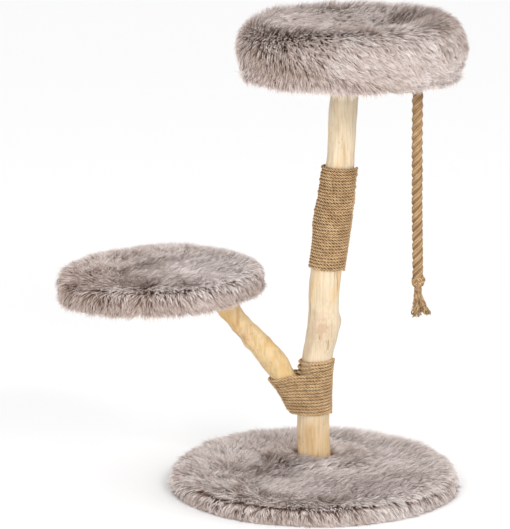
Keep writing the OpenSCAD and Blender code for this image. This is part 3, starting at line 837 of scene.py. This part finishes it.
WOUND_R = 0.0036
WOUND_PITCH = 0.0066
WOUND_GAP = 0.0004
WOUND_LOOK = {"radius": WOUND_R, "plies": 3, "groove": 0.22, "lay": 0.020, "sides": 16, "finish": CORD}
LEVELS_APART = 0.004
FLAT_COS = 0.15  # beyond this lean a side of the outline doesn't bound another
TURN_STEPS = 96
ANGLES = np.linspace(0, TAU, TURN_STEPS, endpoint=False)
UPPER_LEAN = math.radians(5)  # square to the trunk, which leans
# The slanting edge between the trunk and the branch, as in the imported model
FORK_EDGE_X = -0.046
FORK_EDGE_Z = 0.236 - WOUND_R
FORK_EDGE_SLOPE = math.radians(13)


def wood_edges(*nodes):
    """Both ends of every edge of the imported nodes' meshes."""
    firsts, seconds = [], []
    for node in nodes:
        mesh = frame["nodes"][node].data
        points = points_of(mesh)
        pairs = np.empty(2 * len(mesh.edges), int)
        mesh.edges.foreach_get("vertices", pairs)
        firsts.append(points[pairs[0::2]])
        seconds.append(points[pairs[1::2]])
    return np.concatenate(firsts), np.concatenate(seconds)


def outline_at(edges, z, out):
    """The hull of the wood's section at height z, grown by out: its middle, and its reach at ANGLES."""
    first, second = edges
    crossing = (first[:, 2] - z) * (second[:, 2] - z) < 0
    a, b = first[crossing], second[crossing]
    cut = (a + (b - a) * ((z - a[:, 2]) / (b[:, 2] - a[:, 2]))[:, None])[:, :2]
    middle = (cut.min(0) + cut.max(0)) / 2
    ways = np.stack([np.cos(ANGLES), np.sin(ANGLES)], 1)
    side = ((cut - middle) @ ways.T).max(0) + out
    lean = np.cos(ANGLES[:, None] - ANGLES[None, :])
    reach = np.where(lean > FLAT_COS, side[None, :] / np.maximum(lean, FLAT_COS), np.inf).min(1)
    return middle, reach


def winding(edges, low, high, lean=0.0, dip_from=0.0, dips=(0.0, 0.0)):
    """A cord's middle line, wound from low to high. The turns lean down to +X by lean, and to the -X side
    of dip_from they dip by the angles in dips, at the lowest and the highest turn."""
    levels = np.linspace(low, high, max(2, int((high - low) / LEVELS_APART)))
    outlines = [outline_at(edges, z, WOUND_GAP + WOUND_R) for z in levels]
    middles = np.array([m for m, _ in outlines])
    reaches = np.array([r for _, r in outlines])
    steps = round((high - low) / WOUND_PITCH) * TURN_STEPS
    line = []
    for i in range(steps + 1):
        k = i % TURN_STEPS
        rise = z = low + (high - low) * i / steps
        dip = dips[0] + (dips[1] - dips[0]) * (rise - low) / (high - low)
        for _ in range(3):
            middle = [np.interp(z, levels, middles[:, axis]) for axis in (0, 1)]
            out = np.interp(z, levels, reaches[:, k])
            x, y = middle + out * np.array([math.cos(ANGLES[k]), math.sin(ANGLES[k])])
            z = rise - (x - middle[0]) * math.tan(lean) + min(0.0, x - dip_from) * math.tan(dip)
        line.append((x, y, z))
    return np.array(line)


def uneven(line, seed):
    """Hand-wound turns don't lie quite evenly."""
    shift = np.array([
        [noise.noise(Vector((i * 0.021, seed, 0))), noise.noise(Vector((i * 0.017, seed, 7)))]
        for i in range(len(line))
    ])
    out = line - [line[:, 0].mean(), line[:, 1].mean(), 0]
    out[:, 2] = 0
    out /= np.maximum(np.linalg.norm(out, axis=1), 1e-6)[:, None]
    moved = line + out * (0.0022 * shift[:, :1])
    moved[:, 2] += 0.0008 * shift[:, 1]
    return moved


def wound_cord(name, node, line):
    """A wrap's cord, with painted shade where it faces up or down to the next turn."""
    piece = twisted_cords(name, [line], **WOUND_LOOK)
    level = np.abs(points_of(piece.data, "normal")[:, 2])
    # Sunk here is painted shade between the turns.
    store_values(piece.data, "Sunk", 0.55 * np.clip((level - 0.6) / 0.4, 0, 1))
    stand_for(piece, node)


def make_wraps():
    trunk_edges = wood_edges("trunk")
    low, high = (corner[2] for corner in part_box("upper_wrap"))
    upper = winding(trunk_edges, low + WOUND_R, high - WOUND_R, UPPER_LEAN)
    wound_cord("trunk_cord", "upper_wrap", uneven(upper, 3.0))
    low, high = (corner[2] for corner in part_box("fork_wrap"))
    both_edges = wood_edges("trunk", "branch")
    first = low + WOUND_R - 0.002
    lower = winding(both_edges, first, FORK_EDGE_Z, 0.0, FORK_EDGE_X, (0.0, FORK_EDGE_SLOPE))
    neck = winding(trunk_edges, FORK_EDGE_Z, high - WOUND_R, 0.0, 0.0, (2 * FORK_EDGE_SLOPE, 0.0))
    wound_cord("fork_cord", "fork_wrap", uneven(np.concatenate([lower, neck[1:]]), 5.0))


make_wraps()


# ---------- Fur ----------

# How a stretch of pile stands: its length, how steeply a hair leaves the cloth and how its tip lies, in
# radians, how far hairs stray from the comb, and the width and the pull of its locks.
PILE = {"Length": 0.033, "Root lift": 1.08, "Tip lift": 0.10, "Stray": 0.34, "Lock": 0.0050, "Pull": 0.80}
HAIRS = 345000  # to the square metre
HAIR_WIDTH = 0.00095
FLOOR_CLEAR = 0.0006
COMBED = Vector((0.95, -0.35, 0.0))  # how the flat tops are combed
DOWN = Vector((0.0, 0.0, -1.0))
CLOTH_T = 0.0015
HEM_IN, HEM_DOWN = 0.018, 0.002  # how far each cover is turned in under its board, and how far below it


def pile_tree():
    """Grows hairs from a pelt: flat tapered blades, bent along the comb and drawn together into locks."""
    graph, given = new_tree(
        "Fur pile",
        [("Pelt", "Geometry"), ("Hairs", "Float"), ("Length", "Float"), ("Width", "Float"),
         ("Lock", "Float"), ("Pull", "Float"), ("Root lift", "Float"), ("Tip lift", "Float"),
         ("Stray", "Float"), ("Floor", "Float"), ("Seed", "Int"), ("Material", "Material")]
    )
    density = given["Hairs"] * named(graph, "thick", "FLOAT")
    inputs = {"Mesh": given["Pelt"], "Density": density, "Seed": given["Seed"]}
    points = graph.node("GeometryNodeDistributePointsOnFaces", {"distribute_method": "RANDOM"}, inputs)
    normal = graph.other(points, "Normal")
    points = stored(graph, points, "up", "FLOAT_VECTOR", normal)
    points = stored(graph, points, "root", "FLOAT_VECTOR", graph.node("GeometryNodeInputPosition"))
    chance = {"Seed": given["Seed"], 0: (-1.0, -1.0, -1.0), 1: (1.0, 1.0, 1.0)}
    luck = graph.node("FunctionNodeRandomValue", {"data_type": "FLOAT_VECTOR"}, chance)
    points = stored(graph, points, "luck", "FLOAT_VECTOR", luck)

    # One hair: a strip of two quads and a point, 1 long and 1 wide.
    sizes = {"Size X": 1.0, "Size Y": 1.0, "Vertices X": 2, "Vertices Y": 4}
    blade = graph.node("GeometryNodeMeshGrid", None, sizes, "Mesh")
    x, y, _ = graph.parts(graph.node("GeometryNodeInputPosition"))
    along = y + 0.5
    blade = stored(graph, blade, "along", "FLOAT", along)
    blade = stored(graph, blade, "side", "FLOAT", x)
    taper = (1.0 - along).clamp() ** 0.7
    inputs = {"Geometry": blade, "Position": graph.xyz(x * taper, y, 0.0)}
    blade = graph.node("GeometryNodeSetPosition", None, inputs)
    blade = graph.node("GeometryNodeMergeByDistance", None, {"Geometry": blade, "Distance": 0.001})
    hairs = graph.node("GeometryNodeInstanceOnPoints", None, {"Points": points, "Instance": blade})
    hairs = graph.node("GeometryNodeRealizeInstances", None, {0: hairs})

    root, up, luck = (named(graph, name, "FLOAT_VECTOR") for name in ("root", "up", "luck"))
    luck_x, luck_y, luck_z = graph.parts(luck)
    t, side = named(graph, "along", "FLOAT"), named(graph, "side", "FLOAT")
    cell_inputs = {"Vector": root, "Scale": 1.0 / given["Lock"]}
    settings = {"voronoi_dimensions": "3D", "feature": "F1"}
    cell = graph.node("ShaderNodeTexVoronoi", settings, cell_inputs, "Position")
    cell_luck = graph.node("ShaderNodeTexWhiteNoise", {"noise_dimensions": "3D"}, {"Vector": cell}, "Color")
    cell_luck = cell_luck.vector_math("SUBTRACT", (0.5, 0.5, 0.5))
    way = named(graph, "comb", "FLOAT_VECTOR") + luck * given["Stray"] + cell_luck * (given["Stray"] * 2.6)
    way = way.flat_on(up).unit()
    length = given["Length"] * named(graph, "pile", "FLOAT") * (luck_z * 0.22 + 1.0)
    lift = named(graph, "lift", "FLOAT") + luck_x * 0.12
    root_lift, tip_lift = given["Root lift"] + lift * 0.5, given["Tip lift"] + lift
    first = (way * root_lift.cos() + up * root_lift.sin()) * (length * 0.5)
    second = (way * tip_lift.cos() + up * tip_lift.sin()) * (length * 0.5)
    pull = (cell - root).flat_on(up) * given["Pull"]
    bent = first * (t * (2.0 - t)) + (second + pull) * (t * t)
    roll = luck_y * 0.9
    across = way.cross(up) * roll.cos() + up * roll.sin()
    x, y, z = graph.parts(root + bent + across * (side * given["Width"]))
    place = graph.xyz(x, y, z.math("MAXIMUM", given["Floor"]))
    hairs = graph.node("GeometryNodeSetPosition", None, {"Geometry": hairs, "Position": place})
    shade = named(graph, "shade", "FLOAT") + luck_x * 0.22 + graph.parts(cell_luck)[0] * 0.62
    map_place = graph.xyz(shade.clamp(0.03, 0.97) + side * 0.02, t * 0.98 + 0.01, 0.0)
    hairs = stored(graph, hairs, "OFBake", "FLOAT2", map_place, "CORNER")
    return end_tree(graph, hairs, given["Material"])


PILE_TREE = pile_tree()


def lathe(name, profile, sides=144):
    """A surface of revolution about Z. A profile point on the axis closes it with one point."""
    points, rings = [], []
    for r, z in profile:
        if r < 1e-6:
            rings.append([len(points)] * sides)
            points.append((0, 0, z))
        else:
            rings.append([len(points) + k for k in range(sides)])
            angles = [TAU * k / sides for k in range(sides)]
            points += [(r * math.cos(angle), r * math.sin(angle), z) for angle in angles]
    faces = []
    for low, high in zip(rings, rings[1:]):
        for k in range(sides):
            n = (k + 1) % sides
            face = list(dict.fromkeys((low[k], low[n], high[n], high[k])))
            if len(face) > 2:
                faces.append(face)
    return mesh_object(name, points, faces)


def arc(centre, r, first, last, count):
    """Points on an arc, with its angles in degrees."""
    angles = np.radians(np.linspace(first, last, count))
    return [(centre[0] + r * math.cos(a), centre[1] + r * math.sin(a)) for a in angles]


def straight(first, last, count):
    """Points from first up to, but without, last."""
    return [tuple(np.array(first) + (np.array(last) - first) * i / count) for i in range(count)]


def hem(board_r, low, out):
    """The turned edge under a board, out to the given distance past it."""
    return straight((board_r - HEM_IN, low - HEM_DOWN), (board_r + out, low - HEM_DOWN), 5)


def wobble(seed, x, y, z, scale):
    return noise.noise(Vector((x * scale + seed, y * scale, z * scale)))


def smooth_step(value, low, high):
    t = min(1.0, max(0.0, (value - low) / (high - low)))
    return t * t * (3 - 2 * t)


def away_from(centre, p):
    """The level line from a centre to a place."""
    return Vector((p.x - centre[0], p.y - centre[1], 0))


def middle_of(node):
    low, high = (np.array(corner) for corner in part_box(node))
    return (low + high) / 2, low, high


def comb_pelt(piece, centre, edge_r, way, shade, thick, pile):
    """Stores how the hairs lie on a pelt. Each function gets a place, its normal, the direction out from
    the centre and the distance from it. Hairs that reach over the edge droop."""
    rows = []
    for vertex in piece.data.vertices:
        p, n = vertex.co, vertex.normal
        out = away_from(centre, p)
        far = out.length
        out = out.normalized() if far > 1e-6 else Vector((1, 0, 0))
        under = 0.35 if n.z < -0.7 else 1.0
        comb = Vector(way(p, n, out, far))
        over = max(0.0, comb.normalized().dot(out)) * smooth_step(far, edge_r - 0.045, edge_r) * max(0.0, n.z)
        upright = 0.20 + 0.25 * smooth_step(out.y, 0.0, 0.7) * smooth_step(far, 0.6 * edge_r, 0.9 * edge_r)
        upright *= smooth_step(n.z, 0.35, 0.9) * (1 - over)
        lift = 0.16 * wobble(71, p.x, p.y, p.z, 11) + upright - 0.9 * over
        length = pile(p, n, out, far) * (1.0 + 0.16 * wobble(20, p.x, p.y, p.z, 30))
        rows.append((*comb, shade(p, n, out, far), under * thick(p, n, out, far), lift, length))
    rows = np.array(rows)
    comb = piece.data.attributes.new("comb", "FLOAT_VECTOR", "POINT")
    comb.data.foreach_set("vector", rows[:, :3].ravel())
    for column, name in enumerate(("shade", "thick", "lift", "pile"), 3):
        store_values(piece.data, name, rows[:, column])


def grow(pelt, name, region, seed):
    """The hairs of one region of a pelt, as a piece. region says whether a place is in it."""
    copy = new_object(name + "_pelt", pelt.data.copy())
    share = copy.data.attributes["thick"].data
    for vertex, value in zip(copy.data.vertices, share):
        value.value *= region(vertex.co)
    thin = 1.0
    node_modifier(
        copy, PILE_TREE, {
            **PILE, "Hairs": HAIRS / thin, "Width": HAIR_WIDTH * thin ** 0.5, "Floor": FLOOR_CLEAR,
            "Seed": seed, "Material": FUR
        }
    )
    stand_for(plain_mesh(copy, name))


def cover(pelt, node, name):
    """The cloth under the pile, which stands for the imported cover."""
    copy = new_object(name + "_cloth", pelt.data.copy())
    solid = copy.modifiers.new("cloth", "SOLIDIFY")
    solid.thickness = CLOTH_T
    solid.offset = -1.0
    made = plain_mesh(copy, name)
    made.data.materials.clear()
    made.data.materials.append(PELT)
    made.data.shade_smooth()
    stand_for(made, node)


def grow_all(pelt, seed, regions):
    """Grows each region's hairs as a piece of its own, and clears the pelt away."""
    for i, (name, region) in enumerate(regions.items()):
        grow(pelt, name, region, seed + i)
    bpy.data.objects.remove(pelt)


def swirled(seed, p, amount):
    """The comb's direction on a flat top, with its swirls."""
    return COMBED + amount * Vector((
        wobble(seed, p.x, p.y, p.z, 7) + 0.6 * wobble(seed + 3, p.x, p.y, p.z, 19),
        wobble(seed + 5, p.x, p.y, p.z, 7) + 0.6 * wobble(seed + 7, p.x, p.y, p.z, 19), 0
    ))


def uneven_ridge(seed, ridge, p):
    """How far out the parting round a disc's top runs."""
    return ridge + 0.034 * wobble(seed + 11, p.x, p.y, 0, 9) + 0.016 * wobble(seed + 13, p.x, p.y, 0, 32)


def open_parting(seed, p):
    """1 where a disc's parting shows, and 0 in the stretches where it is closed."""
    return smooth_step(wobble(seed + 17, p.x, p.y, 0, 15), -0.05, 0.2)


def parted(seed, ridge, back):
    """Hairs are fewer along the parting, so their roots show. Past back it closes."""
    def thick(p, n, out, far):
        off = abs(far - uneven_ridge(seed, ridge, p) + 0.004) / 0.019
        shown = (1 - smooth_step(out.x, 0.3, 0.7)) * (1 - smooth_step(out.y, back - 0.3, back))
        return 1.0 - 0.55 * shown * open_parting(seed, p) * max(0.0, 1 - off)
    return thick


def combed_disc(seed, ridge, back):
    """Hairs on top lie along the comb, and past the uneven ridge they hang out and down. Past back they
    turn over softly."""
    def way(p, n, out, far):
        here = uneven_ridge(seed, ridge, p)
        soft = 0.010 + 0.08 * smooth_step(abs(out.x), 0.5, 0.9) + 0.07 * smooth_step(out.y, back - 0.3, back)
        soft += 0.08 * (1 - open_parting(seed, p))
        steep = smooth_step(far, here - soft, here + 0.006)
        hang = out * 0.5 + DOWN + COMBED * 0.7 * smooth_step(out.x, -0.3, 0.7)
        hang += Vector((1.1 * wobble(seed + 21, p.x, p.y, 0, 26), 0, 0))
        return swirled(seed, p, 0.8) * (1 - steep) + hang * steep
    return way


def patches(seed, base, spread, tilt, close_share=0.5):
    """Paler and darker patches, paler towards +X by tilt."""
    def shade(p, n, out, far):
        wide = wobble(seed, p.x, p.y, p.z, 6.5)
        close = wobble(seed + 9, p.x, p.y, p.z, 24)
        on_top = 0.12 * smooth_step(n.z, 0.6, 0.95)
        return base + spread * (wide + close_share * close) + tilt * out.x + on_top
    return shade


def top_pile(p, n, out, far):
    """Hairs on a flat top show less of their length."""
    return 1.0 - 0.08 * smooth_step(n.z, 0.6, 0.95)


def fringe(n, out):
    """1 on the front of a disc's edge, where the hairs hang."""
    return (1 - smooth_step(n.z, 0.2, 0.8)) * (1 - smooth_step(out.y, 0.0, 0.5))


# ---------- The bed's fur ----------

BED_CENTRE, BED_BOARD_LOW, BED_BOARD_HIGH = middle_of("bed_board")
_, RIM_LOW, RIM_HIGH = middle_of("bed_bolster")
BED_BOARD_R = (BED_BOARD_HIGH[0] - BED_BOARD_LOW[0]) / 2
RIM_R = (RIM_HIGH[2] - RIM_LOW[2] + 0.002) / 2
RING_R = (RIM_HIGH[0] - RIM_LOW[0]) / 2 - RIM_R  # from the bed's middle to the rim's
RIM_Z = RIM_HIGH[2] - RIM_R
BED_COVER_R = RIM_R + 0.003
BED_UNDER_Z = BED_BOARD_LOW[2]
NEST_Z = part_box("bed_pad")[1][2] + 0.004
NEST_WALL_R = RING_R - 0.030
SKIRT_TOP_Z = BED_UNDER_Z + 0.048
PARTING_TOP_Z, PARTING_FOOT_Z = RIM_HIGH[2] - 0.030, BED_UNDER_Z + 0.008
PARTING_LEFT = -0.85  # the direction's X where the parting starts; it ends at 0
# Creases in the nest, thinned and darkened with painted shade: the angle of each one's middle, half its width
# and how far out it lies
BED_CREASES = [(1.36, 0.30, 0.085), (2.30, 0.16, 0.135), (0.89, 0.16, 0.140)]
CREASE_HALF = 0.013
BED_PATCHES = patches(63, 0.43, 0.42, -0.16, 0.9)


def bed_pelt():
    """From the hem under the board, round the stuffed rim, which is puffed up unevenly, and into the nest."""
    under, side_r = BED_UNDER_Z + 0.001, RING_R + 0.93 * BED_COVER_R
    profile = hem(BED_BOARD_R, BED_UNDER_Z, 0.006)
    profile += straight((BED_BOARD_R + 0.010, under), (side_r, RIM_Z - 0.36 * BED_COVER_R), 8)
    profile += arc((RING_R, RIM_Z), BED_COVER_R, -18, 195, 40)
    inner_r = profile[-1][0]
    profile += [(inner_r - 0.008, NEST_Z + 0.006), (inner_r - 0.02, NEST_Z + 0.001)]
    profile += straight((inner_r - 0.035, NEST_Z), (0.0, NEST_Z), 12) + [(0.0, NEST_Z)]
    pelt = lathe("bed_pelt", profile)
    for vertex in pelt.data.vertices:
        p = vertex.co
        far = math.hypot(p.x, p.y)
        if p.z > BED_BOARD_HIGH[2] and far > RING_R - RIM_R:
            puff = 0.006 * wobble(41, p.x, p.y, 0, 6) + 0.003 * wobble(43, p.x, p.y, p.z, 15)
            puff += 0.005 * smooth_step(p.x / far, 0.2, 0.8)
            side = Vector((p.x * (1 - RING_R / far), p.y * (1 - RING_R / far), p.z - RIM_Z))
            vertex.co += puff * side.normalized()
    pelt.data.transform(Matrix.Translation((BED_CENTRE[0], BED_CENTRE[1], 0)))
    return pelt


def bed_parting_z(out):
    """How high the parting runs: it slants from the rim's left to the middle of its front's foot."""
    return PARTING_TOP_Z - (PARTING_TOP_Z - PARTING_FOOT_Z) * (out.x - PARTING_LEFT) / -PARTING_LEFT


def below_parting(p, out, far):
    """How much of the band below the parting a place lies in, from 0 to 1. It is on the rim's front only."""
    off = p.z - bed_parting_z(out) + 0.012 * wobble(67, p.x, p.y, p.z, 25)
    band = smooth_step(off, -0.050, -0.014) * (1 - smooth_step(off, 0.0, 0.020))
    return band * (1 - smooth_step(out.y, -0.3, 0.1)) * smooth_step(far, RING_R + 0.022, RING_R + 0.040)


def creased(out, far):
    """How near a place is to one of the nest's creases, from 0 to 1."""
    angle = math.atan2(out.y, out.x)
    return max(
        max(0.0, 1 - abs(angle - at) / half) * max(0.0, 1 - abs(far - crease_r) / CREASE_HALF)
        for at, half, crease_r in BED_CREASES
    )


def bed_thick(p, n, out, far):
    return 1 - 0.45 * below_parting(p, out, far) - 0.75 * creased(out, far)


def bed_way(p, n, out, far):
    """The hairs lie to the right above the parting and hang below it."""
    rightward = smooth_step(p.z - bed_parting_z(out), -0.010, 0.014)
    steep = smooth_step(far, RING_R - 0.012, RING_R + 0.034)
    hang = DOWN * (1 - 0.2 * rightward) + COMBED * 0.8 * rightward + out * 0.3
    return swirled(61, p, 0.9) * (1 - steep) + hang * steep


def bed_shade(p, n, out, far):
    """Roots show darker in a band below the parting; painted shade darkens the nest's rim and its creases."""
    # The rim and crease terms are painted shade; the band below the parting is the roots' own colour.
    rim = smooth_step(far, RING_R - 0.040, RING_R - 0.022) * (1 - smooth_step(far, RING_R - 0.018, RING_R))
    dark = 0.56 * below_parting(p, out, far) + 0.10 * rim + 0.9 * creased(out, far)
    return BED_PATCHES(p, n, out, far) - dark


def even_pile(p, n, out, far):
    return 1.0


def make_bed_fur():
    pelt = bed_pelt()
    comb_pelt(pelt, BED_CENTRE, RING_R + BED_COVER_R, bed_way, bed_shade, bed_thick, even_pile)
    cover(pelt, "bed_fur", "bed_cover")

    def reach(p):
        return away_from(BED_CENTRE, p).length

    grow_all(pelt, 100, {
        "bed_fur_skirt": lambda p: p.z <= SKIRT_TOP_Z and reach(p) > NEST_WALL_R,
        "bed_fur_rim": lambda p: p.z > SKIRT_TOP_Z and reach(p) > RING_R,
        "bed_fur_wall": lambda p: p.z > SKIRT_TOP_Z and NEST_WALL_R < reach(p) <= RING_R,
        "bed_fur_nest": lambda p: reach(p) <= NEST_WALL_R
    })


make_bed_fur()


# ---------- The platform's and the base's fur ----------

SHELF_T = 0.016
PLATFORM_PAD_T = 0.010
TRUNK_HOLE_R = 0.0365
DISC_WALL_OUT = 0.003  # from a board's edge to the cloth round it
DISC_EDGE_R = 0.008
PLATFORM_RIDGE_IN, BASE_RIDGE_IN = 0.022, 0.020  # from each board's edge to its parting
EDGE_BAND = 0.030  # the width of the stretch at a disc's edge whose hairs are a piece of their own
PLATFORM_PATCHES = patches(83, 0.46, 0.40, 0.24)
BASE_PATCHES = patches(93, 0.60, 0.36, 0.10)


def disc_profile(board_r, low, top):
    """From the hem under the board, round its edge and in over its top."""
    wall_r, edge = board_r + DISC_WALL_OUT, DISC_EDGE_R
    profile = hem(board_r, low, 0.001) + straight((wall_r, low), (wall_r, top - edge), 7)
    profile += arc((wall_r - edge, top - edge), edge, 0, 90, 6)
    return profile + straight((wall_r - edge - 0.005, top), (0.0, top), 34) + [(0.0, top)]


def make_platform_fur():
    centre, board_low, board_high = middle_of("platform_board")
    board_r = (board_high[1] - board_low[1]) / 2
    slope = math.asin((board_high[2] - board_low[2] - SHELF_T) / (2 * board_r))
    top = SHELF_T / 2 + PLATFORM_PAD_T + 0.002
    pelt = lathe("platform_pelt", disc_profile(board_r, -SHELF_T / 2, top))
    for vertex in pelt.data.vertices:
        if vertex.co.z > 0:
            vertex.co.z += 0.003 * wobble(81, vertex.co.x, vertex.co.y, 0, 9)
            vertex.co.z += 0.005 * smooth_step(vertex.co.y - vertex.co.x, 0.05, 0.18)
    pelt.data.transform(Matrix.Translation(centre) @ Euler((0, -slope, 0)).to_matrix().to_4x4())
    ridge = board_r - PLATFORM_RIDGE_IN
    parting = parted(80, ridge, 0.1)

    def pile(p, n, out, far):
        """Trodden flatter beside the trunk."""
        trodden = smooth_step(out.x, 0.5, 0.9) * smooth_step(far, 0.08, 0.15)
        return top_pile(p, n, out, far) * (1.0 - 0.25 * trodden)

    def shade(p, n, out, far):
        """The front's fringe is the darkest."""
        return PLATFORM_PATCHES(p, n, out, far) - 0.68 * fringe(n, out) - 0.5 * (1 - parting(p, n, out, far))

    comb_pelt(pelt, centre, board_r, combed_disc(80, ridge, 0.1), shade, parting, pile)
    cover(pelt, "platform_fur", "platform_cover")
    ring = board_r - EDGE_BAND
    grow_all(pelt, 200, {
        "platform_fur_edge": lambda p: away_from(centre, p).length > ring,
        "platform_fur_top": lambda p: away_from(centre, p).length <= ring
    })


def base_pelt(board_r, under, top, foot, mound_r, mound_h):
    """The disc with its hole for the trunk, raised over the doubler."""
    pelt = lathe("base_pelt", disc_profile(board_r, under, top), 180)
    edit = bmesh.new()
    edit.from_mesh(pelt.data)
    hole = [f for f in edit.faces if away_from(foot, f.calc_center_median()).length < TRUNK_HOLE_R]
    bmesh.ops.delete(edit, geom=hole, context="FACES")
    edit.to_mesh(pelt.data)
    edit.free()
    for vertex in pelt.data.vertices:
        if vertex.co.z > top - 0.001:
            far = away_from(foot, vertex.co).length
            vertex.co.z += mound_h * (1 - smooth_step(far, mound_r - 0.006, mound_r + 0.02))
            vertex.co.z += 0.003 * wobble(91, vertex.co.x, vertex.co.y, 0, 9)
    return pelt


def make_base_fur():
    _, board_low, board_high = middle_of("base_board")
    board_r = (board_high[0] - board_low[0]) / 2
    foot, doubler_low, doubler_high = middle_of("base_doubler")
    mound_r = (doubler_high[0] - doubler_low[0]) / 2
    mound_h = doubler_high[2] - board_high[2]
    pelt = base_pelt(board_r, board_low[2], board_high[2] + 0.004, foot, mound_r, mound_h)
    disc_way = combed_disc(90, board_r - BASE_RIDGE_IN, -0.15)
    parting = parted(90, board_r - BASE_RIDGE_IN, -0.15)

    def way(p, n, out, far):
        """Round the trunk's foot the hairs stand away from it."""
        away = away_from(foot, p)
        near = 1 - smooth_step(away.length, 0.070, 0.125)
        away = away.normalized()
        near *= smooth_step(away.y, -0.7, 0.1)
        swirl = Vector((-away.y, away.x, 0)) * 0.9 * wobble(95, p.x, p.y, 0, 24)
        return disc_way(p, n, out, far) * (1 - near) + (away * 0.7 + swirl) * near

    def pile(p, n, out, far):
        """Fuller at the back."""
        more = 0.28 * smooth_step(out.y, 0.2, 0.8) * smooth_step(far, 0.18, 0.26)
        return top_pile(p, n, out, far) * (1.0 + more)

    def shade(p, n, out, far):
        """Darker along the parting, at the fringe and beside the trunk's foot, paler in front of the foot."""
        dark = 0.26 * fringe(n, out) + 0.7 * (1 - parting(p, n, out, far))
        away = away_from(foot, p)
        near = smooth_step(away.length, 0.040, 0.075) * (1 - smooth_step(away.length, 0.10, 0.14))
        away = away.normalized()
        foot_shade = 0.22 * smooth_step(-away.y, 0.3, 0.9) - 0.30 * away.x ** 2
        return BASE_PATCHES(p, n, out, far) - dark + near * foot_shade

    comb_pelt(pelt, (0, 0), board_r, way, shade, parting, pile)
    cover(pelt, "base_fur", "base_cover")
    ring = board_r - EDGE_BAND

    def at_edge(p):
        return math.hypot(p.x, p.y) > ring

    grow_all(pelt, 300, {
        "base_fur_front_edge": lambda p: at_edge(p) and p.y < 0,
        "base_fur_back_edge": lambda p: at_edge(p) and p.y >= 0,
        "base_fur_left": lambda p: not at_edge(p) and p.x < 0,
        "base_fur_right": lambda p: not at_edge(p) and p.x >= 0
    })


make_platform_fur()
make_base_fur()
